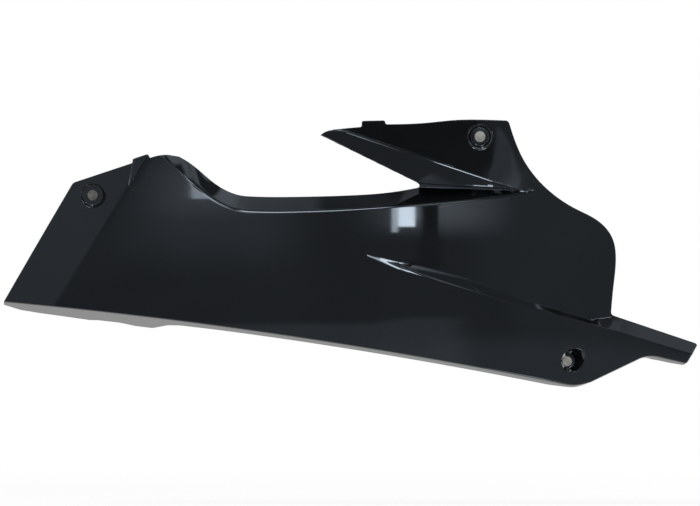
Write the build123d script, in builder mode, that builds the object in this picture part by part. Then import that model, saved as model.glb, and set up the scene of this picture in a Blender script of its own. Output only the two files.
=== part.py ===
from build123d import *
import os
from math import comb, cos, hypot, radians, sin, tan

# Side panel of a motorcycle belly pan: one moulded shell of even wall, drawn from its mould across the bike.
# Millimetres. X runs forward, Z up, and the outer face looks toward -Y.
# The origin lies on the axis of the upper bolt hole, at its recessed seat. Places on the panel are (x, z).

# Wall of the moulding
WALL = 3.0

# Smooth outer face: control depths along the length and up the height, and the span that they cover
SWEEP = [10.8, -7.2, -23.2, -31.2, 36.8]
SWELL = [53.0, -8.0, -8.0, 11.5]
FACE_REAR = -500.0
FACE_FRONT = 240.0
FACE_LOW = -300.0
FACE_HIGH = 50.0

# Lower front panel: leans out of the face from a hinge line through the tip of the ledge
LEDGE_TIP = (-114.0, -117.0)
PANEL_LEAN = 0.045
HINGE_TILT = 19.3

# Ledge over the lower front panel: x, root on the face, lip on the lower panel, and its least step
LEDGE_STEP = 0.5
LEDGE = [
    (-190.0, -100.0, -101.0),
    (-114.0, -117.0, -118.0),
    (-100.0, -120.0, -125.0),
    (-80.0, -126.0, -132.5),
    (-12.0, -143.5, -152.8),
    (20.0, -155.0, -161.8),
    (110.0, -183.6, -187.0),
    (132.0, -183.5, -194.0),
    (142.0, -180.0, -197.5),
    (240.0, -212.5, -226.0),
]

# Bevel of the long upper edge: depth of its lip and the stretch that the lip ends in, then x, edge on the
# face, lip
BAND_LIP_Y = 6.8
LIP_REAR = -330.0
LIP_FRONT = -60.8
LIP_LOW = -125.0
BAND = [
    (-322.0, -15.5, -9.5),
    (-312.0, -25.0, -14.5),
    (-300.0, -35.0, -20.4),
    (-290.0, -44.5, -26.5),
    (-280.0, -52.3, -34.4),
    (-270.0, -59.7, -43.1),
    (-260.0, -66.0, -50.3),
    (-250.0, -70.8, -55.5),
    (-240.0, -73.8, -58.6),
    (-228.0, -75.0, -59.8),
    (-180.0, -75.0, -60.1),
    (-130.0, -73.0, -58.7),
    (-80.0, -69.5, -54.3),
    (-62.0, -68.2, -51.0),
]

# Fin over the notch: rear end of the line of its lower edge, the heel where the notch closes, how far its
# rounded end runs on from there, and the part of the fin's returned edge that shows
FIN_REAR = (-322.0, 80.8)
FIN_HEEL = (-62.0, -46.9)
HEEL_NOSE = 1.4
FIN_RETURN = 0.6

# Groove that carries the bevel on under the fin: its front end, the width of its root there, and how much
# less deep than the lip it is at the heel
GROOVE_END = (58.0, -55.4)
GROOVE_ROOT = 1.2
HEEL_RISE = 0.5

# Mounting arm, sunk behind the ridge of the fin
ARM_STEP = 5.0
ARM_CORNER = (26.0, 12.5)
RIDGE_BACK = (-190.0, 11.0)
RIDGE_REAR = (-160.0, 8.0)
RIDGE_TIP = (-134.0, 5.0)
RIDGE_FOOT = (32.0, -51.0)
RIDGE_FRONT = (90.0, -70.0)

# Rear mounting flange, bent back from the face at a straight crease so that the next panel can lie over it
CREASE_TOP = (-351.0, -49.0)
CREASE_FOOT = (-428.0, -166.0)
REAR_LEAN = 0.07

# Pocket at the top of the crease, sunk toward the face behind the rear tab
POCKET_DEPTH = 5.0
POCKET_REAR = (-347.5, -26.4)
POCKET_FRONT = (-330.5, -18.0)
POCKET_RISE = 20.0

# Bottom flange: its draft below, its draft at the rise behind the chin and at the nose end, and its edge
# from rear to chin, then up to the throat and along the nose
FLANGE_DRAFT = 15.0
STEEP_DRAFT = 4.0
BOTTOM_REAR = (-490.0, -164.0)
BOTTOM_MID = (-200.0, -198.0)
CHIN = (100.4, -251.0)
THROAT = (168.9, -218.2)
NOSE_LOW = (207.8, -227.3)
NOSE_HIGH = (218.6, -208.6)
CHIN_RADIUS = 45.0
THROAT_RADIUS = 30.0
NOSE_RADIUS = 6.0

# How far back the bottom flange reaches, deeper behind and deepest at its tab: x, bottom edge z, reach.
# It all lies below one height.
FLANGE_TOP = -130.0
FLANGE_REACH = [
    (-500.0, -163.0, 12.0),
    (-477.0, -166.0, 12.0),
    (-460.0, -166.6, 26.0),
    (-440.0, -168.2, 31.0),
    (-390.0, -173.5, 38.0),
    (-382.0, -174.5, 35.0),
    (-360.0, -177.3, 35.0),
    (-344.0, -179.3, 46.0),
    (-327.0, -181.5, 46.0),
    (-312.0, -183.4, 23.0),
    (-300.0, -185.0, 18.0),
    (-260.0, -190.0, 16.0),
    (-180.0, -202.0, 15.0),
    (-100.0, -214.6, 15.0),
    (-20.0, -228.3, 15.0),
    (80.0, -246.0, 15.0),
    (105.0, -246.0, 9.0),
    (160.0, -222.0, 9.0),
    (176.0, -219.0, 14.0),
    (192.0, -223.0, 13.0),
    (205.0, -226.0, 9.5),
    (240.0, -230.0, 9.5),
]

# Free edges seen from the side
REAR_FOOT = (-474.5, -230.0)
REAR_LOW = (-477.3, -166.0)
REAR_MID = (-443.5, -108.0)
REAR_TOP = (-407.2, -46.2)
REAR_TOP_RADIUS = 6.0
PEAK_REAR = (-329.8, -21.3)
PEAK_TOP = (-311.5, -18.2)
PEAK_FRONT = (-294.0, -21.7)
ACROSS_NOTCH = [(-280.0, -13.5), (-168.0, -4.5)]
FIN_TOP = [(-159.7, 1.2), (-156.0, 3.9), (-151.5, 5.8), (-143.5, 7.2), (-118.3, 9.6)]
ARM_TOP = [(-94.7, 12.2), (-55.5, 13.5), (-24.0, 16.6), (0.0, 17.0), (28.5, 16.0)]
ARM_RADIUS = 4.0
FRONT_EDGE = [
    (28.5, 16.0),
    (33.5, 0.0),
    (44.0, -24.0),
    (62.6, -48.2),
    (95.9, -72.3),
    (118.3, -84.4),
    (132.9, -102.2),
    (136.1, -120.0),
    (133.8, -150.0),
    (131.3, -178.3),
]
NOSE_TOP = (230.0, -211.4)
BROW_RADIUS = 3.0

# Locating tabs
REAR_TAB = [(-347.5, -26.4), (-347.5, -22.5), (-332.4, -17.4)]
TOP_TAB = [(-118.3, 15.6), (-94.7, 16.1)]

# Bolt holes and their recessed seats
SEAT_DRAFT = 30.0
UPPER_HOLE = (0.0, 0.0)
UPPER_HOLE_RADIUS = 5.25
UPPER_SEAT_RADIUS = 9.5
UPPER_SEAT_Y = 0.0
REAR_HOLE = (-387.5, -58.5)
REAR_HOLE_RADIUS = 4.75
REAR_SEAT_RADIUS = 10.5
REAR_SEAT_DEPTH = 3.0
LOWER_HOLE = (87.5, -225.0)
LOWER_HOLE_RADIUS = 4.75
LOWER_SEAT_RADIUS = 7.5
LOWER_SEAT_DEPTH = 11.0
LOWER_MOUTH_RADIUS = 13.0
LOWER_MOUTH_SHIFT = 7.0

# Space that the cutting shapes reach across, well clear of the panel
FRONT_Y = -55.0
BACK_Y = 135.0
FAR_REAR = -560.0
FAR_FRONT = 260.0
FAR_HIGH = 120.0
NOSE_SPAN = 4.0
PAST = 2.0
SLOPE_DOWN = 25.0
SLOPE_UP = 45.0
SLOPE_OUT = 60.0
SEAT_OUT = 40.0


def face_y(x, z):
    """Depth of the smooth outer face."""
    u = (x - FACE_REAR) / (FACE_FRONT - FACE_REAR)
    v = (z - FACE_LOW) / (FACE_HIGH - FACE_LOW)
    along = sum(comb(4, k) * u**k * (1 - u) ** (4 - k) * SWEEP[k] for k in range(5))
    up = sum(comb(3, k) * v**k * (1 - v) ** (3 - k) * SWELL[k] for k in range(4))
    return along + up


def lean(x, z):
    """How far the lower front panel stands out of the smooth face."""
    ahead = (x - LEDGE_TIP[0]) * cos(radians(HINGE_TILT))
    above = (z - LEDGE_TIP[1]) * sin(radians(HINGE_TILT))
    return PANEL_LEAN * (ahead + above)


def lower_y(x, z):
    """Depth of the lower front panel."""
    return face_y(x, z) - lean(x, z)


def outer_y(x, z):
    """Depth of whichever of the two faces stands out."""
    return min(face_y(x, z), lower_y(x, z))


def at_depth(y):
    """Plane seen from the side, at a depth."""
    return Plane.XZ.offset(-y)


def moved(before, corner, after, first, second):
    """Corner of a clockwise outline with the sides before and after it moved out by a step each."""
    ax, ay = corner[0] - before[0], corner[1] - before[1]
    bx, by = after[0] - corner[0], after[1] - corner[1]
    la, lb = hypot(ax, ay), hypot(bx, by)
    nx, ny = -ay / la, ax / la
    mx, my = -by / lb, bx / lb
    turn = nx * my - ny * mx
    return (corner[0] + (first * my - second * ny) / turn, corner[1] + (second * nx - first * mx) / turn)


def bent(x, z):
    """How far the rear flange lies behind the smooth face, less than zero ahead of its crease."""
    ax, az = CREASE_TOP[0] - CREASE_FOOT[0], CREASE_TOP[1] - CREASE_FOOT[1]
    past = (az * (CREASE_FOOT[0] - x) + ax * (z - CREASE_FOOT[1])) / hypot(ax, az)
    return REAR_LEAN * past


def behind(depth, shift):
    """Everything behind the smooth face, moved back by the depth and by a shift that varies evenly."""
    rows = []
    for i, along in enumerate(SWEEP):
        x = FACE_REAR + (FACE_FRONT - FACE_REAR) * i / 4
        row = []
        for j, up in enumerate(SWELL):
            z = FACE_LOW + (FACE_HIGH - FACE_LOW) * j / 3
            row.append((x, along + up + depth + shift(x, z), z))
        rows.append(row)
    with BuildPart() as form:
        extrude(Face.make_bezier_surface(rows), amount=BACK_Y, dir=(0, 1, 0))
    return form.part


def ledge_cut(inset):
    """What lies over the ledge and in front of its slope."""
    with BuildPart() as form:
        for x, root, lip in LEDGE:
            lip_y = lower_y(x, lip)
            rise_y = max(face_y(x, root) - lip_y, LEDGE_STEP)
            length = hypot(rise_y, root - lip)
            dy, dz = rise_y / length, (root - lip) / length
            low = (lip_y - SLOPE_DOWN * dy + inset * dz, lip - SLOPE_DOWN * dz - inset * dy)
            high = (lip_y + SLOPE_UP * dy + inset * dz, lip + SLOPE_UP * dz - inset * dy)
            with BuildSketch(Plane.YZ.offset(x)):
                with BuildLine():
                    Polyline(low, high, (high[0], FAR_HIGH), (low[0] - SLOPE_OUT, FAR_HIGH), low)
                make_face()
        loft(ruled=True)
    return form.part


def lower_form(inset):
    """Everything above the drafted bottom flange and behind the nose end, taken in by the inset."""
    slope = tan(radians(FLANGE_DRAFT))
    steep = tan(radians(STEEP_DRAFT))
    shrink = inset / cos(radians(FLANGE_DRAFT))
    rise_x, rise_z = NOSE_HIGH[0] - NOSE_LOW[0], NOSE_HIGH[1] - NOSE_LOW[1]
    nose_far = (NOSE_LOW[0] + NOSE_SPAN * rise_x, NOSE_LOW[1] + NOSE_SPAN * rise_z)
    far = [(BOTTOM_REAR[0], FAR_HIGH), (FAR_FRONT, FAR_HIGH), nose_far]
    corners = [*far, NOSE_LOW, THROAT, CHIN, BOTTOM_REAR]
    slopes = [slope, slope, steep, steep, slope, steep, slope]
    with BuildPart() as form:
        for y in (FRONT_Y, BACK_Y):
            places = []
            for k, corner in enumerate(corners):
                ahead = (k + 1) % len(corners)
                past = y - outer_y(*corner)
                first, second = slopes[k] * past - shrink, slopes[ahead] * past - shrink
                places.append(moved(corners[k - 1], corner, corners[ahead], first, second))
            low, throat, chin, rear = places[3:]
            middle = (BOTTOM_MID[0], BOTTOM_MID[1] - slope * (y - outer_y(*BOTTOM_MID)) + shrink)
            with BuildSketch(at_depth(y)) as outline:
                with BuildLine():
                    Polyline(rear, *places[:6])
                    ThreePointArc(chin, middle, rear)
                make_face()
                for corner, radius in ((low, NOSE_RADIUS), (throat, THROAT_RADIUS), (chin, CHIN_RADIUS)):
                    fillet(outline.vertices().sort_by_distance((*corner, 0))[0], radius)
        loft(ruled=True)
    return form.part


def notch_cut(inset):
    """Notch between the long face and the fin: bevelled below, with the returned edge of the fin above."""
    run = (FIN_HEEL[1] - FIN_REAR[1]) / (FIN_HEEL[0] - FIN_REAR[0])
    with BuildPart() as form:
        for y in (FRONT_Y, BAND_LIP_Y + PAST + inset):
            bevel = []
            for x, edge, lip in BAND:
                at = face_y(x, edge)
                slope = (lip - edge) / (BAND_LIP_Y - at)
                bevel.append((x, edge + slope * (y - at) - inset * hypot(1, slope)))
            lift = inset * hypot(1, run) + FIN_RETURN * (BAND_LIP_Y - y) / (BAND_LIP_Y - face_y(*FIN_HEEL))
            heel = (FIN_HEEL[0], FIN_HEEL[1] + lift)
            rear = (FIN_REAR[0], FIN_REAR[1] + lift)
            nose = (FIN_HEEL[0] + HEEL_NOSE + inset, (bevel[-1][1] + heel[1]) / 2)
            with BuildSketch(at_depth(y)):
                with BuildLine():
                    Spline(*bevel)
                    Polyline(bevel[-1], nose, heel, rear, bevel[0])
                make_face()
        loft(ruled=True)
    return form.part


def groove_cut(inset):
    """Groove that runs on from the notch under the fin and dies out forward."""
    x, edge, lip = BAND[-1]
    slope = (lip - edge) / (BAND_LIP_Y - face_y(x, edge))
    heel_z = FIN_HEEL[1]
    start = (x - 1, BAND_LIP_Y - HEEL_RISE, lip - HEEL_RISE * slope, heel_z, heel_z + FIN_RETURN)
    end_x, end_z = GROOVE_END
    end = (end_x, face_y(*GROOVE_END) - 1, end_z, end_z + GROOVE_ROOT, end_z + 2 * GROOVE_ROOT)
    with BuildPart() as form:
        for place, root_y, low, high, fin in (start, end):
            down = inset * hypot(1, slope)
            low_back = (root_y + inset, low + slope * inset - down)
            low_front = (FRONT_Y, low - slope * (root_y - FRONT_Y) - down)
            high_back = (root_y + inset, high + inset)
            high_front = (FRONT_Y, fin + inset)
            with BuildSketch(Plane.YZ.offset(place)):
                with BuildLine():
                    Polyline(low_front, low_back, high_back, high_front, low_front)
                make_face()
        loft(ruled=True)
    return form.part


def arm_plane(inset):
    """Plane of the sunk mounting arm, facing out."""
    foot = Vector(RIDGE_FOOT[0], face_y(*RIDGE_FOOT), RIDGE_FOOT[1])
    corner = Vector(ARM_CORNER[0], face_y(*ARM_CORNER), ARM_CORNER[1])
    tip = Vector(RIDGE_TIP[0], face_y(*RIDGE_TIP) + ARM_STEP, RIDGE_TIP[1])
    facing = (corner - foot).cross(tip - foot)
    return Plane(origin=foot, x_dir=foot - tip, z_dir=facing).offset(-inset)


def arm_y(x, z):
    """Depth of the mounting arm."""
    plane = arm_plane(0.0)
    nx, ny, nz = plane.z_dir
    return plane.origin.Y - (nx * (x - plane.origin.X) + nz * (z - plane.origin.Z)) / ny


def sunk(corners, floor, inset):
    """What lies in front of a sunk floor, inside a clockwise outline."""
    with BuildPart() as form:
        with BuildSketch(Plane.XZ):
            with BuildLine():
                Polyline(*corners, corners[0])
            make_face()
            if inset > 0:
                offset(amount=inset, kind=Kind.INTERSECTION)
        extrude(amount=BACK_Y, both=True)
        split(bisect_by=floor, keep=Keep.TOP)
    return form.part


def arm_cut(inset):
    """What lies in front of the mounting arm, above the ridge of the fin."""
    ridge = [RIDGE_BACK, RIDGE_REAR, RIDGE_TIP, RIDGE_FOOT, RIDGE_FRONT]
    over = [(RIDGE_FRONT[0], FAR_HIGH), (RIDGE_BACK[0], FAR_HIGH)]
    return sunk([*ridge, *over], arm_plane(inset), inset)


def pocket_cut(inset):
    """What lies in front of the pocket behind the rear tab, between the flange and the face."""
    top, rear, front = CREASE_TOP, POCKET_REAR, POCKET_FRONT
    a = Vector(top[0], face_y(*top), top[1])
    b = Vector(rear[0], face_y(*rear) + bent(*rear), rear[1])
    c = Vector(front[0], face_y(*front) + POCKET_DEPTH, front[1])
    floor = Plane(origin=a, x_dir=c - a, z_dir=(c - a).cross(b - a)).offset(-inset)
    over = [(front[0], front[1] + POCKET_RISE), (rear[0], rear[1] + POCKET_RISE)]
    return sunk([top, front, *over, rear], floor, inset)


def seat_cut(place, face_at, depth, radius, mouth, shift, inset):
    """Recess that sinks a bolt head: a round mouth on the face that narrows to a flat seat."""
    flare = (mouth - radius) / depth
    with BuildPart() as form:
        for y in (face_at + depth + inset, face_at + depth + inset - SEAT_OUT):
            out = face_at + depth - y
            with BuildSketch(at_depth(y)):
                with Locations((place[0] + shift * out / depth, place[1])):
                    Circle(radius + flare * out + inset * hypot(1, flare))
        loft(ruled=True)
    return form.part


def seat_cuts(inset):
    """The recesses of the three bolt holes."""
    flare = tan(radians(SEAT_DRAFT))
    upper_at = arm_y(*UPPER_HOLE)
    upper_depth = UPPER_SEAT_Y - upper_at
    upper_mouth = UPPER_SEAT_RADIUS + flare * upper_depth
    rear_mouth = REAR_SEAT_RADIUS + flare * REAR_SEAT_DEPTH
    rear_at = face_y(*REAR_HOLE) + bent(*REAR_HOLE)
    lower_at = lower_y(*LOWER_HOLE)
    upper = seat_cut(UPPER_HOLE, upper_at, upper_depth, UPPER_SEAT_RADIUS, upper_mouth, 0.0, inset)
    rear = seat_cut(REAR_HOLE, rear_at, REAR_SEAT_DEPTH, REAR_SEAT_RADIUS, rear_mouth, 0.0, inset)
    lower_sizes = (LOWER_SEAT_DEPTH, LOWER_SEAT_RADIUS, LOWER_MOUTH_RADIUS, LOWER_MOUTH_SHIFT)
    lower = seat_cut(LOWER_HOLE, lower_at, *lower_sizes, inset)
    return [upper, rear, lower]


def envelope(inset):
    """The panel as a full block from its outer skin back, with the skin taken in by the inset."""
    with BuildPart() as block:
        add(behind(inset, lambda x, z: -lean(x, z)))
        add(ledge_cut(inset), mode=Mode.SUBTRACT)
        add(behind(inset, lambda x, z: 0.0))
        add(behind(inset, bent), mode=Mode.INTERSECT)
        add(lower_form(inset), mode=Mode.INTERSECT)
        add(notch_cut(inset), mode=Mode.SUBTRACT)
        add(groove_cut(inset), mode=Mode.SUBTRACT)
        add(arm_cut(inset), mode=Mode.SUBTRACT)
        add(pocket_cut(inset), mode=Mode.SUBTRACT)
        for seat in seat_cuts(inset):
            add(seat, mode=Mode.SUBTRACT)
    return block.part


# Free edges of the panel, as a prism across the bike. The bottom, the nose end and the notch lie inside it.
with BuildPart() as free_edges:
    with BuildSketch(Plane.XZ) as outline:
        with BuildLine():
            Polyline((REAR_FOOT[0], FACE_LOW), REAR_FOOT, REAR_LOW)
            ThreePointArc(REAR_LOW, REAR_MID, REAR_TOP)
            Polyline(REAR_TOP, *REAR_TAB, PEAK_REAR)
            ThreePointArc(PEAK_REAR, PEAK_TOP, PEAK_FRONT)
            Polyline(PEAK_FRONT, *ACROSS_NOTCH, FIN_TOP[0])
            Spline(*FIN_TOP)
            Polyline(FIN_TOP[-1], *TOP_TAB, ARM_TOP[0])
            Spline(*ARM_TOP)
            Spline(*FRONT_EDGE)
            Polyline(FRONT_EDGE[-1], NOSE_TOP, (NOSE_TOP[0], FACE_LOW), (REAR_FOOT[0], FACE_LOW))
        make_face()
        for place, radius in (
            (REAR_TOP, REAR_TOP_RADIUS),
            (ARM_TOP[-1], ARM_RADIUS),
            (FRONT_EDGE[-1], BROW_RADIUS),
        ):
            fillet(outline.vertices().sort_by_distance((*place, 0))[0], radius)
    extrude(amount=BACK_Y, both=True)

with BuildPart() as belly_pan:
    add(envelope(0.0))
    add(free_edges.part, mode=Mode.INTERSECT)

    # Lip of the bevel and of the fin's return
    with BuildSketch(at_depth(BAND_LIP_Y)):
        with Locations((LIP_REAR, LIP_LOW)):
            Rectangle(LIP_FRONT - LIP_REAR, FAR_HIGH - LIP_LOW, align=Align.MIN)
    extrude(amount=-2 * BACK_Y, mode=Mode.SUBTRACT)

    # Inner edge of the bottom flange, with its tab
    with BuildSketch(Plane.XY.offset(FACE_LOW)):
        with BuildLine():
            inner_edge = [(x, outer_y(x, z) + reach) for x, z, reach in FLANGE_REACH]
            far = [(FLANGE_REACH[-1][0], 2 * BACK_Y), (FLANGE_REACH[0][0], 2 * BACK_Y)]
            Polyline(*inner_edge, *far, inner_edge[0])
        make_face()
    extrude(amount=FLANGE_TOP - FACE_LOW, mode=Mode.SUBTRACT)

    # Hollow of the shell
    add(envelope(WALL), mode=Mode.SUBTRACT)

    # Bolt holes through their seats
    for place, radius in (
        (UPPER_HOLE, UPPER_HOLE_RADIUS),
        (REAR_HOLE, REAR_HOLE_RADIUS),
        (LOWER_HOLE, LOWER_HOLE_RADIUS),
    ):
        with BuildSketch(Plane.XZ):
            with Locations(place):
                Circle(radius)
        extrude(amount=BACK_Y, both=True, mode=Mode.SUBTRACT)

os.makedirs("parts", exist_ok=True)
belly_pan.part.label = "belly_pan"
export_step(belly_pan.part, "parts/belly_pan.step")
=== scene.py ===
"""Dresses the belly pan side panel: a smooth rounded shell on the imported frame, its gloss finish and a studio."""
import logging
import math
from dataclasses import dataclass, field
from enum import Enum

import bpy
import numpy as np
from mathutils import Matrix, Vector
from mathutils.geometry import delaunay_2d_cdt
from mathutils.kdtree import KDTree


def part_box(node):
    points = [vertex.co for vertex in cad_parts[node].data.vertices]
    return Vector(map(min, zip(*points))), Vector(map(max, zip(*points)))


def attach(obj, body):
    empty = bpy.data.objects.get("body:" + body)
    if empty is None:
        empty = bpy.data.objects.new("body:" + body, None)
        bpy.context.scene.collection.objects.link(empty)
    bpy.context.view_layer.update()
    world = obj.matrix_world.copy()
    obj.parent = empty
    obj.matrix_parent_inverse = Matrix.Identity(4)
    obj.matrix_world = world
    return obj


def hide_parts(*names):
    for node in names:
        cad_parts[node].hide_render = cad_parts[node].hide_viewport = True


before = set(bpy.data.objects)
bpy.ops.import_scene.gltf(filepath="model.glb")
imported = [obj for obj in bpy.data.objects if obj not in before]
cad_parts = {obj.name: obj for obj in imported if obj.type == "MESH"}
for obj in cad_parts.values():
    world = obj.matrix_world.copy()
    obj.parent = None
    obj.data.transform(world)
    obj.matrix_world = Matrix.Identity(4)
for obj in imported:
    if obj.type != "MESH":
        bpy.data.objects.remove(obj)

LOG = logging.getLogger("belly_pan")
MM = 0.001
NOWHERE = -1000.0
TINY = 1e-6
CORNER_CLEAR = 0.2
WHITE = (1.0, 1.0, 1.0, 1.0)
Array = np.ndarray
Socket = bpy.types.NodeSocket
Place = tuple[float, float]
Point = tuple[float, float, float]
Colour = tuple[float, float, float, float]


class Skin(Enum):
    """The two faces of the moulded wall."""

    OUTER = 0.0
    INNER = 1.0


def larger(a: Array, b: Array, blend: float | Array) -> Array:
    """Takes the larger of two depths, rounded where they differ by less than the blend."""
    near = np.maximum(blend - np.abs(a - b), 0.0) / blend
    return np.maximum(a, b) + near * near * blend / 4


def smaller(a: Array, b: Array, blend: float | Array) -> Array:
    """Takes the smaller of two depths, rounded where they differ by less than the blend."""
    return -larger(-a, -b, blend)


class SmoothLine:
    """Natural cubic curve through places, run by a rising value of its own."""

    def __init__(self, at: list[float], values: list) -> None:
        """Solves the curve.

        Args:
            at: Rising values that the curve is run by.
            values: A number or a place for each of them.
        """
        self.at = np.array(at, float)
        self.values = np.array(values, float).reshape(len(at), -1)
        step = np.diff(self.at)
        count = len(self.at)
        table = np.eye(count)
        right = np.zeros_like(self.values)
        for k in range(1, count - 1):
            table[k, k - 1 : k + 2] = step[k - 1], 2 * (step[k - 1] + step[k]), step[k]
            rise = np.diff(self.values[k - 1 : k + 2], axis=0) / step[k - 1 : k + 1, None]
            right[k] = 6 * (rise[1] - rise[0])
        self.bend = np.linalg.solve(table, right)

    def __call__(self, value: Array) -> Array:
        """Reads the curve.

        Args:
            value: Where to read it. Past its ends it holds its last value.

        Returns:
            One row for each value, or a flat array where the curve holds numbers.
        """
        value = np.clip(np.asarray(value, float), self.at[0], self.at[-1])
        k = np.clip(np.searchsorted(self.at, value) - 1, 0, len(self.at) - 2)
        step = (self.at[k + 1] - self.at[k])[..., None]
        b = (value - self.at[k])[..., None] / step
        a = 1 - b
        curve = a * self.values[k] + b * self.values[k + 1]
        curve += ((a**3 - a) * self.bend[k] + (b**3 - b) * self.bend[k + 1]) * step**2 / 6
        return curve[..., 0] if self.values.shape[1] == 1 else curve


def through(places: list[Place], step: float) -> Array:
    """Runs a smooth curve through places.

    Args:
        places: The places.
        step: Spacing of the result.

    Returns:
        Places along the curve, the first and last ones included.
    """
    chord = np.linalg.norm(np.diff(np.array(places), axis=0), axis=1)
    run = np.concatenate([[0.0], np.cumsum(chord)])
    return SmoothLine(list(run), places)(np.linspace(0, run[-1], max(3, round(run[-1] / step) + 1)))


def arc(start: Place, middle: Place, end: Place, step: float) -> Array:
    """Runs a round arc through three places.

    Args:
        start: First place.
        middle: A place on the way.
        end: Last place.
        step: Spacing of the result.

    Returns:
        Places along the arc, the first and last ones included.
    """
    a, b, c = (np.array(place, float) for place in (start, middle, end))
    centre = np.linalg.solve(2 * np.array([b - a, c - a]), [b @ b - a @ a, c @ c - a @ a])
    radius = np.linalg.norm(a - centre)
    angles = np.unwrap([math.atan2(*(place - centre)[::-1]) for place in (a, b, c)])
    count = max(3, round(abs(angles[2] - angles[0]) * radius / step) + 1)
    turn = np.linspace(angles[0], angles[2], count)
    return centre + radius * np.stack([np.cos(turn), np.sin(turn)], axis=1)


def soften(path: Array, corner: Place, radius: float, count: int = 7) -> Array:
    """Rounds one corner of a path.

    Args:
        path: Places along the path.
        corner: The corner, which is one of them.
        radius: Radius of the round.
        count: Number of places on the round.

    Returns:
        The path with the corner rounded.
    """
    k = int(np.argmin(np.linalg.norm(path - np.array(corner), axis=1)))
    tip = path[k]
    before = path[k - 1] - tip
    after = path[k + 1] - tip
    before = before / np.linalg.norm(before)
    after = after / np.linalg.norm(after)
    half = math.acos(float(np.clip(before @ after, -1, 1))) / 2
    reach = radius / math.tan(half)
    keep = np.linalg.norm(path - tip, axis=1) > reach + CORNER_CLEAR
    keep[k] = False
    share = np.linspace(0, 1, count)[:, None]
    first, last = tip + before * reach, tip + after * reach
    heavy = 2 * math.sin(half) * share * (1 - share)
    weight = (1 - share) ** 2 + heavy + share**2
    round_off = ((1 - share) ** 2 * first + heavy * tip + share**2 * last) / weight
    ahead = [j for j in range(k) if keep[j]]
    behind = [j for j in range(k + 1, len(path)) if keep[j]]
    return np.concatenate([path[ahead], round_off, path[behind]])


def straight(start: Place, end: Place, step: float) -> Array:
    """Divides a straight line into even steps, with both ends.

    Args:
        start: First place.
        end: Last place.
        step: Spacing of the result.

    Returns:
        Places along the line.
    """
    a, b = np.array(start, float), np.array(end, float)
    count = max(2, round(float(np.linalg.norm(b - a)) / step) + 1)
    return a + np.linspace(0, 1, count)[:, None] * (b - a)


def along(corners: list[Place], step: float) -> Array:
    """Runs straight from corner to corner in even steps, without the first corner."""
    return np.concatenate([straight(a, b, step)[1:] for a, b in zip(corners, corners[1:])])


def side_steps(path: Array) -> Array:
    """Finds the unit step to the left of an open path at each of its places.

    Args:
        path: Places along the path.

    Returns:
        One unit step for each place.
    """
    run = np.gradient(path, axis=0)
    run /= np.linalg.norm(run, axis=1)[:, None]
    return np.stack([-run[:, 1], run[:, 0]], axis=1)


def off_line(line: Array, x: Array, z: Array) -> tuple[Array, Array]:
    """Measures how far places lie above a line.

    Args:
        line: Corners of the line, from the rear to the front.
        x: Places along the bike.
        z: Heights.

    Returns:
        Distance square to the line, and the line's slope.
    """
    at, height = line.T
    slope = np.interp(x, (at[1:] + at[:-1]) / 2, np.diff(height) / np.diff(at))
    return (z - np.interp(x, at, height)) / np.hypot(1, slope), slope


def flat_depth(corners: list[Point], x: Array, z: Array, inset: float) -> Array:
    """Gives the depth of the flat through three points.

    Args:
        corners: The three points.
        x: Places along the bike.
        z: Heights.
        inset: Distance behind the flat.

    Returns:
        Depth at each place.
    """
    a, b, c = np.array(corners)
    normal = np.cross(b - a, c - a)
    normal *= np.sign(normal[1]) / np.linalg.norm(normal)
    return a[1] - (normal[0] * (x - a[0]) + normal[2] * (z - a[2]) - inset) / normal[1]


@dataclass(frozen=True)
class SmoothFace:
    """The long crowned outer face, before any feature is set into it. Millimetres."""

    sweep: tuple[float, ...] = (10.8, -7.2, -23.2, -31.2, 36.8)
    swell: tuple[float, ...] = (53.0, -8.0, -8.0, 11.5)
    rear: float = -500.0
    front: float = 240.0
    low: float = -300.0
    high: float = 50.0

    def depth(self, x: Array, z: Array) -> Array:
        """Gives the depth of the face.

        Args:
            x: Places along the bike.
            z: Heights.

        Returns:
            Depth at each place.
        """
        u = (x - self.rear) / (self.front - self.rear)
        v = (z - self.low) / (self.high - self.low)
        along_bike = sum(math.comb(4, k) * u**k * (1 - u) ** (4 - k) * c for k, c in enumerate(self.sweep))
        up = sum(math.comb(3, k) * v**k * (1 - v) ** (3 - k) * c for k, c in enumerate(self.swell))
        return along_bike + up

    def point(self, place: Place, sink: float = 0.0) -> Point:
        """Gives the point of the face at a place, sunk by a distance."""
        return place[0], float(self.depth(*place)) + sink, place[1]


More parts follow.
